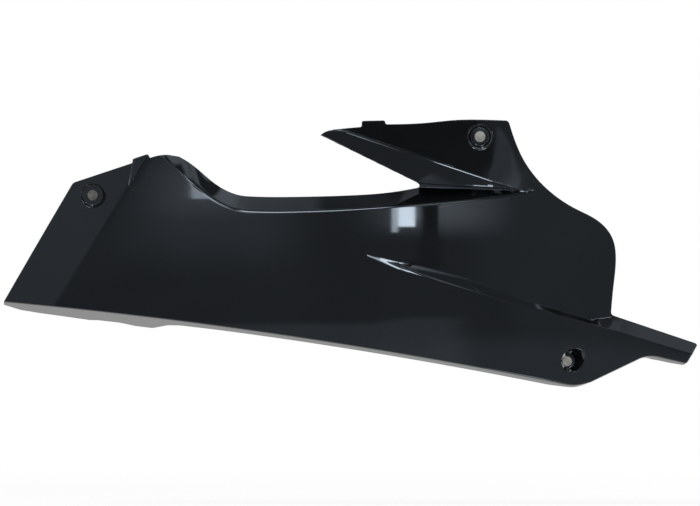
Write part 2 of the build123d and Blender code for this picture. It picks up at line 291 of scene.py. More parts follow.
@dataclass(frozen=True)
class LowerPanel:
    """The lower front panel that leans out of the face, under its ledge. Millimetres."""

    face: SmoothFace
    tip: Place = (-114.0, -117.0)
    lean: float = 0.045
    tilt: float = 19.3
    step: float = 0.9
    crease_blend: float = 1.0
    crease_start: Place = (-126.0, -100.0)
    crease_end: Place = (90.0, 118.0)
    tip_blend: float = 0.04
    brow_blend: float = 0.15
    lip_blend: float = 0.9
    ledge: tuple[Point, ...] = (
        (-190.0, -100.0, -101.0),
        (-114.0, -117.0, -118.0),
        (-100.0, -120.0, -125.0),
        (-80.0, -126.0, -132.5),
        (-12.0, -143.5, -152.8),
        (20.0, -155.0, -162.6),
        (45.0, -162.9, -169.8),
        (110.0, -183.6, -187.0),
        (132.0, -180.2, -194.0),
        (142.0, -180.0, -197.5),
        (240.0, -212.5, -226.0),
    )

    def lines(self, x: Array) -> tuple[Array, Array]:
        """Gives the heights of the ledge's root and of its lip."""
        at, root, lip = np.array(self.ledge).T
        return np.interp(x, at, root), np.interp(x, at, lip)

    def stand(self, x: Array, z: Array) -> Array:
        """Gives how far the panel stands out of the smooth face.

        Args:
            x: Places along the bike.
            z: Heights.

        Returns:
            The distance at each place.
        """
        ahead = (x - self.tip[0]) * math.cos(math.radians(self.tilt))
        above = (z - self.tip[1]) * math.sin(math.radians(self.tilt))
        return self.lean * (ahead + above)

    def shape(self, x: Array, z: Array, inset: float) -> Array:
        """Gives the depth of the face with the lower panel and its ledge.

        Args:
            x: Places along the bike.
            z: Heights.
            inset: Distance behind the outer skin.

        Returns:
            Depth at each place.
        """
        root, lip = self.lines(x)
        lip_y = self.face.depth(x, lip) - self.stand(x, lip)
        rise = np.maximum(self.face.depth(x, root) - lip_y, self.step)
        length = np.hypot(rise, root - lip)
        dy, dz = rise / length, (root - lip) / length
        slope = lip_y + inset * dz + (z - lip + inset * dy) * dy / dz
        face = self.face.depth(x, z) + inset
        lower = larger(face - self.stand(x, z), slope, self.lip_blend)
        blends = (self.tip_blend, self.crease_blend, self.crease_blend, self.brow_blend)
        return smaller(face, lower, np.interp(x, self.crease_start + self.crease_end, blends))


@dataclass(frozen=True)
class UpperEdge:
    """The bevelled long edge, the notch, the returned edge of the fin and the groove ahead of it. Millimetres."""

    face: SmoothFace
    lip_y: float = 6.8
    fin_rear: Place = (-322.0, 80.8)
    fin_heel: Place = (-62.0, -46.9)
    heel_nose: float = 1.4
    fin_return: float = 0.6
    fin_clear: float = 1.0
    groove_end: Place = (58.0, -55.4)
    groove_root: float = 1.2
    groove_sink: float = 1.0
    groove_fade: float = 24.0
    heel_rise: float = 0.5
    soft_end: Place = (-296.0, -286.0)
    soft_blend: float = 0.5
    bevel_blend: float = 2.0
    return_blend: float = 12.0
    root_blend: float = 1.2
    band: tuple[Point, ...] = (
        (-322.0, -15.5, -9.5),
        (-312.0, -25.0, -14.5),
        (-300.0, -35.0, -20.4),
        (-290.0, -44.5, -26.5),
        (-280.0, -52.3, -34.4),
        (-270.0, -59.7, -43.1),
        (-260.0, -66.0, -50.3),
        (-250.0, -70.8, -55.5),
        (-240.0, -73.8, -58.6),
        (-228.0, -75.0, -59.8),
        (-180.0, -75.0, -60.1),
        (-130.0, -73.0, -58.7),
        (-80.0, -69.5, -54.3),
        (-62.0, -68.2, -51.0),
    )

    def __post_init__(self) -> None:
        """Runs smooth lines through the places of the edge and the lip."""
        at, edge, lip = (list(column) for column in zip(*self.band))
        object.__setattr__(self, "edge_line", SmoothLine(at, edge))
        object.__setattr__(self, "lip_line", SmoothLine(at, lip))

    def bevel_slope(self, x: Array) -> tuple[Array, Array, Array]:
        """Gives the bevel of the long edge.

        Args:
            x: Places along the bike.

        Returns:
            Height of its edge, the depth there, and its rise for each millimetre of depth.
        """
        edge = self.edge_line(x)
        at = self.face.depth(x, edge)
        return edge, at, (self.lip_line(x) - edge) / (self.lip_y - at)

    def fin_line(self, x: Array) -> Array:
        """Gives the height of the fin's lower edge at the depth of the lip."""
        run = (self.fin_heel[1] - self.fin_rear[1]) / (self.fin_heel[0] - self.fin_rear[0])
        return self.fin_heel[1] + run * (x - self.fin_heel[0])

    def fin_low(self, x: Array) -> Array:
        """Gives the height under which the fin ends, at the notch or at the groove."""
        return np.where(x < self.fin_heel[0], self.fin_line(x) - self.fin_clear, self.groove(x)[2])

    def fin_run(self) -> float:
        """Gives the length of the fin's lower edge for each millimetre along the bike."""
        return math.hypot(1, (self.fin_heel[1] - self.fin_rear[1]) / (self.fin_heel[0] - self.fin_rear[0]))

    def return_steep(self) -> float:
        """Gives the depth that the fin's returned edge gains for each millimetre of height."""
        return (self.lip_y - float(self.face.depth(*self.fin_heel))) / self.fin_return

    def groove(self, x: Array) -> tuple[Array, Array, Array, float]:
        """Gives the groove's section.

        Args:
            x: Places along the bike.

        Returns:
            Depth of its root, heights of the root's low and high sides, and the rise of its low side.
        """
        heel = np.array([self.fin_heel[0]])
        slope = float(self.bevel_slope(heel)[2][0])
        share = (x - self.fin_heel[0]) / (self.groove_end[0] - self.fin_heel[0])
        deep = self.lip_y - self.heel_rise
        root = deep + share * (float(self.face.depth(*self.groove_end)) - self.groove_sink - deep)
        low_start = float(self.lip_line(heel)[0]) - self.heel_rise * slope
        low = low_start + share * (self.groove_end[1] - low_start)
        high_start = self.fin_heel[1] + self.heel_rise / self.return_steep()
        high = high_start + share * (self.groove_end[1] + self.groove_root - high_start)
        return root, low, high, slope

    def cut(self, x: Array, z: Array, shape: Array, inset: float) -> Array:
        """Sets the notch and the groove into a shape.

        Args:
            x: Places along the bike.
            z: Heights.
            shape: Depth before the cut.
            inset: Distance behind the outer skin.

        Returns:
            Depth after the cut.
        """
        edge, at, slope = self.bevel_slope(x)
        bevel = at + (z - edge + inset * np.hypot(1, slope)) / slope
        fin = self.lip_y - (z - self.fin_line(x) - inset * self.fin_run()) * self.return_steep()
        notch = np.where(x < self.band[0][0], NOWHERE, np.minimum(bevel, fin))
        root, low, high, rise = self.groove(x)
        low_side = root + (z - low + inset * math.hypot(1, rise)) / rise
        high_side = root - (z - high - inset) * self.return_steep()
        floor = smaller(low_side, root + inset, self.root_blend)
        groove = np.where(x > self.groove_end[0], NOWHERE, np.minimum(floor, high_side))
        ahead = x > self.fin_heel[0]
        cut = np.where(ahead, groove, notch)
        on_return = np.where(ahead, high_side < floor, fin < bevel)
        soft = np.interp(x, self.soft_end, (self.soft_blend, self.bevel_blend))
        sunk = larger(shape, cut, np.where(on_return, self.return_blend, soft))
        return shape + (sunk - shape) * np.clip((self.groove_end[0] - x) / self.groove_fade, 0, 1)


@dataclass(frozen=True)
class MountingArm:
    """The flat mounting arm, sunk behind the ridge of the fin. Millimetres."""

    face: SmoothFace
    step: float = 5.0
    corner: Place = (26.0, 12.5)
    ridge: tuple[Place, ...] = ((-190.0, 11.0), (-160.0, 8.0), (-134.0, 5.0), (32.0, -51.0), (90.0, -70.0))
    wall_steep: float = 5.0
    ridge_blend: float = 2.0
    ridge_lean: float = 0.2
    ridge_width: float = 1.4
    ridge_fade: float = 20.0
    facet_blend: float = 0.05
    fin_flare: float = 0.05
    flare_end: Place = (5.0, 50.0)
    roll: tuple[Place, ...] = ((-28.0, 0.0), (-12.0, 1.2), (12.0, 3.0), (18.0, 2.4), (26.0, 0.0))
    roll_lean: float = 0.6

    def above(self, x: Array, z: Array) -> Array:
        """Gives how far a place lies above the ridge, square to it."""
        return off_line(np.array(self.ridge), x, z)[0]

    def flared(self, x: Array, z: Array, shape: Array, low: Array) -> Array:
        """Leans the fin out a little from its ridge down to its lower edge, and rolls the front of that edge back.

        Args:
            x: Places along the bike.
            z: Heights.
            shape: Depth before.
            low: Height of the fin's lower edge.

        Returns:
            Depth after.
        """
        share = np.clip((self.flare_end[1] - x) / (self.flare_end[1] - self.flare_end[0]), 0, 1)
        below = np.clip(-self.above(x, z), 0, None) * (z > low)
        width = np.interp(x, *np.array(self.roll).T)
        rolled = self.roll_lean * np.clip(low + width - z, 0, width) * (z > low)
        return shape - self.fin_flare * share * below + rolled

    def cut(self, x: Array, z: Array, shape: Array, inset: float) -> Array:
        """Sinks the arm into a shape.

        Args:
            x: Places along the bike.
            z: Heights.
            shape: Depth before the cut.
            inset: Distance behind the outer skin.

        Returns:
            Depth after the cut.
        """
        tip, foot = self.ridge[2], self.ridge[3]
        corners = [self.face.point(foot), self.face.point(self.corner), self.face.point(tip, self.step)]
        arm = flat_depth(corners, x, z, inset)
        above = self.above(x, z) + inset
        wall = shape + self.wall_steep * above
        lean = self.ridge_lean * np.clip((foot[0] - x) / self.ridge_fade, 0, 1)
        facet = shape + lean * np.minimum(above + self.ridge_width, self.ridge_width)
        shape = np.where(lean > 0, larger(shape, facet, self.facet_blend), shape)
        return larger(shape, np.minimum(arm, wall), self.ridge_blend)


@dataclass(frozen=True)
class RearFlange:
    """The rear mounting flange, bent back at a straight crease, and the pocket at the top of it. Millimetres."""

    face: SmoothFace
    crease_top: Place = (-351.0, -49.0)
    crease_foot: Place = (-428.0, -166.0)
    lean: float = 0.07
    crease_blend: float = 0.3
    pocket_depth: float = 5.0
    pocket_rear: Place = (-347.5, -26.4)
    pocket_front: Place = (-330.5, -18.0)
    wall_steep: float = 5.0
    wall_blend: float = 2.2

    @staticmethod
    def left_of(start: Place, end: Place, x: Array, z: Array) -> Array:
        """Gives how far a place lies to the left of a line, less than zero on its right."""
        ax, az = end[0] - start[0], end[1] - start[1]
        return (ax * (z - start[1]) - az * (x - start[0])) / math.hypot(ax, az)

    def bent(self, x: Array, z: Array) -> Array:
        """Gives how far the flange lies behind the smooth face, less than zero ahead of the crease."""
        return self.lean * self.left_of(self.crease_foot, self.crease_top, x, z)

    def cut(self, x: Array, z: Array, shape: Array, inset: float) -> Array:
        """Bends the flange back and sinks the pocket into a shape.

        Args:
            x: Places along the bike.
            z: Heights.
            shape: Depth before the cut.
            inset: Distance behind the outer skin.

        Returns:
            Depth after the cut.
        """
        shape = larger(shape, self.face.depth(x, z) + self.bent(x, z) + inset, self.crease_blend)
        top, rear, front = self.crease_top, self.pocket_rear, self.pocket_front
        point = self.face.point
        corners = [point(top), point(rear, float(self.bent(*rear))), point(front, self.pocket_depth)]
        floor = flat_depth(corners, x, z, inset)
        wall = shape + self.wall_steep * (self.left_of(top, front, x, z) + inset)
        blend = np.where(floor < wall, self.crease_blend, self.wall_blend)
        return larger(shape, np.minimum(floor, wall), blend)


@dataclass(frozen=True)
class BoltSeat:
    """A bolt hole in its recessed seat. Millimetres."""

    hole: Place
    hole_radius: float
    seat_radius: float
    floor: float
    flare: float
    mouth_radius: float
    shift: float = 0.0
    depth: float = 1.0
    wall_steep: float = 4.0
    blend: float = 1.0

    def cut(self, x: Array, z: Array, shape: Array, inset: float) -> Array:
        """Sinks the seat into a shape.

        Args:
            x: Places along the bike.
            z: Heights.
            shape: Depth before the cut.
            inset: Distance behind the outer skin.

        Returns:
            Depth after the cut.
        """
        px, pz = x - self.hole[0], z - self.hole[1]
        lean = self.shift / self.depth
        radius = self.seat_radius + inset * math.hypot(1, self.flare)
        a = lean * lean - self.flare * self.flare
        half_b = px * lean + radius * self.flare
        c = px * px + pz * pz - radius * radius
        root = np.sqrt(np.maximum(half_b * half_b - a * c, 0.0))
        out = c / (half_b + np.where(half_b < 0, -1.0, 1.0) * root + TINY)
        cone = np.where(half_b > 0, self.floor - out, NOWHERE)
        inside = self.mouth_radius + inset - np.hypot(px - self.shift, pz)
        wall = shape + self.wall_steep * inside
        bowl = smaller(np.minimum(cone, wall), np.full_like(cone, self.floor + inset), self.blend)
        return larger(shape, bowl, self.blend)


@dataclass(frozen=True)
class BottomFlange:
    """The returned flange along the bottom edge and round the nose. Millimetres."""

    draft: float = 15.0
    steep_draft: float = 4.0
    turn: Place = (-0.05, 0.35)
    rear: Place = (-490.0, -164.0)
    middle: Place = (-200.0, -198.0)
    chin: Place = (100.4, -251.0)
    throat: Place = (168.9, -218.2)
    nose_low: Place = (207.8, -227.3)
    nose_high: Place = (218.6, -208.6)
    chin_radius: float = 45.0
    throat_radius: float = 30.0
    nose_radius: float = 6.0
    chin_count: int = 15
    throat_count: int = 11
    nose_count: int = 9
    nose_top: float = -196.0
    far: float = 260.0
    blend: float = 3.0
    corner_blend: float = 18.0
    sample: float = 2.0
    reach: tuple[Place, ...] = (
        (-477.0, 12.0),
        (-460.0, 26.0),
        (-440.0, 31.0),
        (-390.0, 38.0),
        (-382.0, 35.0),
        (-360.0, 35.0),
        (-344.0, 41.0),
        (-327.0, 41.0),
        (-312.0, 23.0),
        (-300.0, 18.0),
        (-260.0, 16.0),
        (-180.0, 15.0),
        (70.0, 15.0),
        (88.0, 9.6),
        (105.0, 8.0),
        (160.0, 9.0),
        (176.0, 14.0),
        (192.0, 13.0),
        (205.0, 9.5),
    )

    def __post_init__(self) -> None:
        """Runs the bottom edge, with and without the round of the nose."""
        edge = arc(self.rear, self.middle, self.chin, self.sample)
        edge = np.concatenate([edge, along([self.chin, self.throat, self.nose_low], self.sample)])
        edge = soften(edge, self.chin, self.chin_radius, self.chin_count)
        edge = soften(edge, self.throat, self.throat_radius, self.throat_count)
        end_run = (self.nose_high[0] - self.nose_low[0]) / (self.nose_high[1] - self.nose_low[1])
        nose_end = (self.nose_low[0] + end_run * (self.nose_top - self.nose_low[1]), self.nose_top)
        whole = np.concatenate([edge, along([self.nose_low, nose_end], self.sample)])
        object.__setattr__(self, "path", soften(whole, self.nose_low, self.nose_radius, self.nose_count))
        slope = (self.nose_low[1] - self.throat[1]) / (self.nose_low[0] - self.throat[0])
        last = (self.far, self.nose_low[1] + slope * (self.far - self.nose_low[0]))
        object.__setattr__(self, "bottom", np.concatenate([edge, [last]]))

    def steep(self, toward_front: Array) -> Array:
        """Gives the depth that the flange gains for each millimetre outward.

        Args:
            toward_front: How far the unit step out of the edge leads to the front.

        Returns:
            The steepness, more where the edge looks to the front.
        """
        share = np.clip((toward_front - self.turn[0]) / (self.turn[1] - self.turn[0]), 0, 1)
        draft = self.draft + (self.steep_draft - self.draft) * share * share * (3 - 2 * share)
        return 1 / np.tan(np.radians(draft))

    def width(self) -> Array:
        """Gives how wide the flange shows from the side, along its edge."""
        at, reach = np.array(self.reach).T
        return np.interp(self.path[:, 0], at, reach) / self.steep(-side_steps(self.path)[:, 0])

    def cut(self, x: Array, z: Array, shape: Array, inset: float) -> Array:
        """Turns the bottom of a shape back into the flange.

        Args:
            x: Places along the bike.
            z: Heights.
            shape: Depth before the turn.
            inset: Distance behind the outer skin.

        Returns:
            Depth after the turn.
        """
        grow = inset / math.cos(math.radians(self.draft))
        above, slope = off_line(self.bottom, x, z)
        turned = (grow - above) * self.steep(slope / np.hypot(1, slope))
        run = np.array(self.nose_high) - np.array(self.nose_low)
        run = run / np.linalg.norm(run)
        ahead = (x - self.nose_low[0]) * run[1] - (z - self.nose_low[1]) * run[0] + grow
        turned = larger(turned, ahead * self.steep(np.ones(1)), self.corner_blend)
        return shape + larger(np.zeros_like(turned), turned, self.blend)


@dataclass(frozen=True)
class PanelForm:
    """The whole form of the panel: the depth of either skin of its wall. Millimetres."""

    wall: float = 3.0
    rear_hole: Place = (-387.5, -58.5)
    rear_sink: float = 3.0
    lower_hole: Place = (87.5, -225.0)
    lower_sink: float = 11.0
    seat_draft: float = 30.0
    set_back: float = 0.06

    def __post_init__(self) -> None:
        """Sets the features into the smooth face."""
        face = SmoothFace()
        parts = {
            "face": face,
            "lower": LowerPanel(face),
            "upper": UpperEdge(face),
            "arm": MountingArm(face),
            "rear": RearFlange(face),
            "bottom": BottomFlange(),
        }
        for name, part in parts.items():
            object.__setattr__(self, name, part)
        object.__setattr__(self, "seats", self.bolt_seats())

    def bolt_seats(self) -> list[BoltSeat]:
        """Sizes the three bolt seats.

        Returns:
            The upper, the rear and the lower seat.
        """
        rear, lower = self.rear_hole, self.lower_hole
        flare = math.tan(math.radians(self.seat_draft))
        rear_floor = float(self.face.depth(*rear) + self.rear.bent(*rear)) + self.rear_sink
        lower_floor = float(self.face.depth(*lower) - self.lower.stand(*lower)) + self.lower_sink
        shallow = {"flare": flare, "mouth_radius": 30.0}
        bowl = {"flare": 0.5, "mouth_radius": 13.0, "shift": 7.0, "depth": self.lower_sink}
        return [
            BoltSeat(hole=(0.0, 0.0), hole_radius=5.25, seat_radius=9.5, floor=0.0, **shallow),
            BoltSeat(hole=rear, hole_radius=4.75, seat_radius=10.5, floor=rear_floor, **shallow),
            BoltSeat(hole=lower, hole_radius=4.75, seat_radius=7.5, floor=lower_floor, **bowl),
        ]

    def depth(self, places: Array, skin: Skin) -> Array:
        """Gives the depth of a skin.

        Args:
            places: Places seen from the side, one a row.
            skin: Which face of the wall.

        Returns:
            Depth at each place.
        """
        x, z = places[:, 0], places[:, 1]
        inset = self.wall * skin.value
        shape = self.lower.shape(x, z, inset)
        shape = self.arm.flared(x, z, shape, self.upper.fin_low(x))
        shape = self.upper.cut(x, z, shape, inset)
        shape = self.arm.cut(x, z, shape, inset)
        shape = self.rear.cut(x, z, shape, inset)
        for seat in self.seats:
            shape = seat.cut(x, z, shape, inset)
        return self.bottom.cut(x, z, shape, inset) + self.set_back

    def slopes(self, places: Array, skin: Skin, step: float = 0.04) -> Array:
        """Gives the slope of a skin along the bike and up.

        Args:
            places: Places seen from the side, one a row.
            skin: Which face of the wall.
            step: Distance that the slope is taken over.

        Returns:
            Two slopes for each place.
        """
        sides = []
        for move in np.eye(2) * step:
            ahead, back = self.depth(places + move, skin), self.depth(places - move, skin)
            sides.append((ahead - back) / (2 * step))
        return np.stack(sides, axis=1)


@dataclass
class Rim:
    """Matched places along the free edge of the two skins."""

    outer: list = field(default_factory=list)
    inner: list = field(default_factory=list)
    lip: list = field(default_factory=list)
    least_gap: float = 0.12

    def run(self, outer: Array, inner: Array, lip: bool | Array) -> None:
        """Carries the rim on.

        Args:
            outer: Places on the outer skin.
            inner: Matched places on the inner skin.
            lip: Whether the wall ends looking back there, and not outward.
        """
        self.outer.append(np.asarray(outer, float))
        self.inner.append(np.asarray(inner, float))
        self.lip.append(np.broadcast_to(lip, len(outer)))

    def closed(self) -> tuple[Array, Array, Array]:
        """Joins the runs into one closed rim, without places that repeat.

        Returns:
            Outer places, inner places and lip marks.
        """
        outer, inner, lip = (np.concatenate(rows) for rows in (self.outer, self.inner, self.lip))
        apart = np.linalg.norm(outer - np.roll(outer, 1, axis=0), axis=1)
        apart += np.linalg.norm(inner - np.roll(inner, 1, axis=0), axis=1)
        keep = apart > self.least_gap
        return outer[keep], inner[keep], lip[keep]


@dataclass(frozen=True)
class PanelOutline:
    """The free edges of the panel seen from the side. Millimetres."""

    form: PanelForm
    step: float = 1.6
    fine_step: float = 0.5
    rear_foot: Place = (-474.5, -230.0)
    rear_low: Place = (-477.3, -166.0)
    rear_mid: Place = (-443.5, -108.0)
    rear_top: Place = (-407.2, -46.2)
    rear_tab: tuple[Place, ...] = ((-347.5, -26.4), (-347.5, -22.5), (-332.4, -17.4))
    peak: tuple[Place, Place, Place] = ((-329.8, -21.3), (-311.5, -18.2), (-294.0, -21.7))
    fin_top: tuple[Place, ...] = ((-159.7, 1.2), (-156.0, 3.9), (-151.5, 5.8), (-143.5, 7.2), (-118.3, 9.6))
    top_tab: tuple[Place, ...] = ((-118.3, 15.6), (-94.7, 16.1))
    arm_top: tuple[Place, ...] = ((-94.7, 12.2), (-55.5, 13.5), (-24.0, 16.5), (0.0, 16.9), (28.5, 15.9))
    front_edge: tuple[Place, ...] = (
        (28.5, 15.9),
        (33.5, 0.0),
        (44.0, -24.0),
        (62.6, -48.2),
        (95.9, -72.3),
        (118.3, -84.4),
        (132.9, -102.2),
        (136.1, -120.0),
        (133.8, -150.0),
        (131.3, -178.3),
    )
    nose_top: Place = (230.0, -211.4)
    rear_radius: float = 6.0
    arm_radius: float = 4.0
    brow_radius: float = 3.0
    tab_radius: float = 1.8
    tab_count: int = 4
    nose_corner: float = 2.5
    nose_clear: float = 0.05
    rear_clear: float = 0.3
    fin_tip: float = -156.6
    fin_clear: float = 0.01

    def rear_edge(self, low: float) -> Array:
        """Runs the rear edge up to the rear tab and the foot of the peak.

        Args:
            low: Height that it starts at.

        Returns:
            Places along it.
        """
        edge = arc(self.rear_low, self.rear_mid, self.rear_top, self.step)
        if low < self.rear_low[1]:
            share = (self.rear_low[1] - low) / (self.rear_low[1] - self.rear_foot[1])
            start = np.array(self.rear_low) + share * (np.array(self.rear_foot) - np.array(self.rear_low))
            edge = np.concatenate([[start], edge])
        else:
            edge = edge[edge[:, 1] > low]
        top = along([self.rear_top, *self.rear_tab, self.peak[0]], self.step)
        edge = soften(np.concatenate([edge, top]), self.rear_top, self.rear_radius)
        for corner in self.rear_tab:
            edge = soften(edge, corner, self.tab_radius, self.tab_count)
        return edge

    def front(self) -> Array:
        """Runs the top of the fin and the arm, the front edge and the top of the nose.

        Returns:
            Places from the fin's tip to past the nose.
        """
        corners = [self.fin_top[-1], *self.top_tab, self.arm_top[0]]
        runs = [through(list(self.fin_top), self.step), along(corners, self.step)]
        runs.extend(through(list(line), self.step)[1:] for line in (self.arm_top, self.front_edge))
        runs.append(along([self.front_edge[-1], self.nose_top], self.step))
        edge = np.concatenate(runs)
        for corner in corners:
            edge = soften(edge, corner, self.tab_radius, self.tab_count)
        edge = soften(edge, self.arm_top[-1], self.arm_radius)
        return soften(edge, self.front_edge[-1], self.brow_radius)

    def peak_and_band(self, inset: float) -> tuple[Array, Array]:
        """Runs the edge over the peak and along the lip of the bevel to the heel of the notch.

        Args:
            inset: Distance behind the outer skin.

        Returns:
            Places along it, and whether each lies on the lip.
        """
        upper = self.form.upper
        start, end = self.peak[0][0], upper.fin_heel[0]
        x = np.linspace(start, end, round((end - start) / self.step))
        over = arc(*self.peak, self.fine_step)
        peak = np.interp(x, over[:, 0], over[:, 1], right=-NOWHERE)
        slope = upper.bevel_slope(x)[2]
        lip = upper.lip_line(x) - inset * np.hypot(1, slope)
        lip = np.where(x < upper.band[0][0], -NOWHERE, lip)
        return np.stack([x, np.minimum(peak, lip)], axis=1), lip < peak

    def heel(self, inset: float) -> Array:
        """Runs the edge round the closed front end of the notch.

        Args:
            inset: Distance behind the outer skin.

        Returns:
            Places from the bevel's lip round to the fin's.
        """
        upper = self.form.upper
        low = self.peak_and_band(inset)[0][-1]
        high = self.fin_edge(inset)[0]
        nose = (upper.fin_heel[0] + upper.heel_nose + inset, (low[1] + high[1]) / 2)
        return arc(tuple(low), nose, tuple(high), self.fine_step)[1:-1]

    def fin_edge(self, inset: float) -> Array:
        """Runs the lip of the fin from the heel of the notch to the fin's tip.

        Args:
            inset: Distance behind the outer skin.

        Returns:
            Places along it.
        """
        upper = self.form.upper
        x = straight((upper.fin_heel[0], 0.0), (self.fin_top[0][0], 0.0), self.step)[:, 0]
        if inset:
            x = np.maximum(x, self.fin_tip)
        return np.stack([x, upper.fin_line(x) + inset * upper.fin_run()], axis=1)

    def trimmed(self, top: Array, width_less: float) -> tuple[Array, Array]:
        """Runs the front edge and the flange's lip up to where they meet at the nose end.

        Args:
            top: The front edge and the top of the nose.
            width_less: How much narrower than the outer skin the flange is.

        Returns:
            The front edge, and the lip from the nose back to the rear.
        """
        bottom = self.form.bottom
        lip = bottom.path - side_steps(bottom.path) * (bottom.width() - width_less)[:, None]
        brow = np.array(self.front_edge[-1])
        run = np.array(self.nose_top) - brow
        rise = run[1] / run[0]
        over = lip[:, 1] - brow[1] - rise * (lip[:, 0] - brow[0])
        last = int(np.nonzero(over < -self.nose_clear)[0][-1])
        share = over[last] / (over[last] - over[last + 1])
        meet = lip[last] + (lip[last + 1] - lip[last]) * share
        on_nose = (top[:, 0] > brow[0]) & (top[:, 1] < brow[1])
        top = top[~(on_nose & (top[:, 0] > meet[0] - self.step / 2))]
        whole = np.concatenate([top, [meet], lip[last::-1]])
        whole = soften(whole, tuple(meet), self.nose_corner)
        corner = int(np.argmin(np.linalg.norm(whole - meet, axis=1)))
        return whole[: corner + 1], whole[corner:]

    def rim(self) -> Rim:
        """Runs the whole free edge, clockwise seen from outside, with the two skins matched.

        Returns:
            The rim.
        """
        rim = Rim()
        less = self.form.wall / math.cos(math.radians(self.form.bottom.draft))
        top = self.front()
        outer_top, outer_lip = self.trimmed(top, 0.0)
        inner_top, inner_lip = self.trimmed(top, less)
        lows = []
        for lip in (outer_lip, inner_lip):
            lows.append(float(np.interp(-self.rear_low[0], -lip[:, 0], lip[:, 1])))
        edges = [self.rear_edge(low) for low in lows]
        rim.run(edges[0], self.matched(edges[1], edges[0]), False)
        outer, on_lip = self.peak_and_band(0.0)
        inner, _ = self.peak_and_band(self.form.wall)
        rim.run(outer, inner, on_lip)
        outer = self.heel(0.0)
        rim.run(outer, self.matched(self.heel(self.form.wall), outer), True)
        rim.run(self.fin_edge(0.0), self.fin_edge(self.form.wall), True)
        clip = np.maximum(self.matched(inner_top, outer_top), [self.fin_tip, NOWHERE])
        on_fin = (clip[:, 0] < self.fin_tip + self.fin_clear) & (clip[:, 1] > 0)
        clip[on_fin] = self.fin_edge(self.form.wall)[-1]
        rim.run(outer_top, clip, False)
        keep = [lip[:, 0] > self.rear_low[0] + self.rear_clear for lip in (outer_lip, inner_lip)]
        outer_lip, inner_lip = outer_lip[keep[0]], inner_lip[keep[1]]
        rim.run(outer_lip, self.matched(inner_lip, outer_lip), True)
        return rim

    @staticmethod
    def matched(path: Array, like: Array) -> Array:
        """Reads a path at the same shares of its length as another path's places.

        Args:
            path: Path to read.
            like: Path that gives the shares.

        Returns:
            As many places as the other path has.
        """
        runs = []
        for line in (path, like):
            run = np.concatenate([[0.0], np.cumsum(np.linalg.norm(np.diff(line, axis=0), axis=1))])
            runs.append(run / run[-1])
        return np.stack([np.interp(runs[1], runs[0], path[:, k]) for k in range(2)], axis=1)


def inside(places: Array, loop: Array) -> Array:
    """Tells which places lie inside a closed loop.

    Args:
        places: Places to test.
        loop: Corners of the loop.

    Returns:
        True for each place inside.
    """
    x, z = places[:, 0], places[:, 1]
    found = np.zeros(len(places), bool)
    for (ax, az), (bx, bz) in zip(loop, np.roll(loop, -1, axis=0)):
        if az == bz:
            continue
        crosses = (az > z) != (bz > z)
        found ^= crosses & (x < ax + (z - az) / (bz - az) * (bx - ax))
    return found


def on_skin(places: Array, loops: list[Array]) -> Array:
    """Tells which places lie inside an outline and outside its holes.

    Args:
        places: Places to test.
        loops: The outline, then the hole edges.

    Returns:
        True for each place on the skin.
    """
    found = inside(places, loops[0])
    for hole in loops[1:]:
        found &= ~inside(places, hole)
    return found


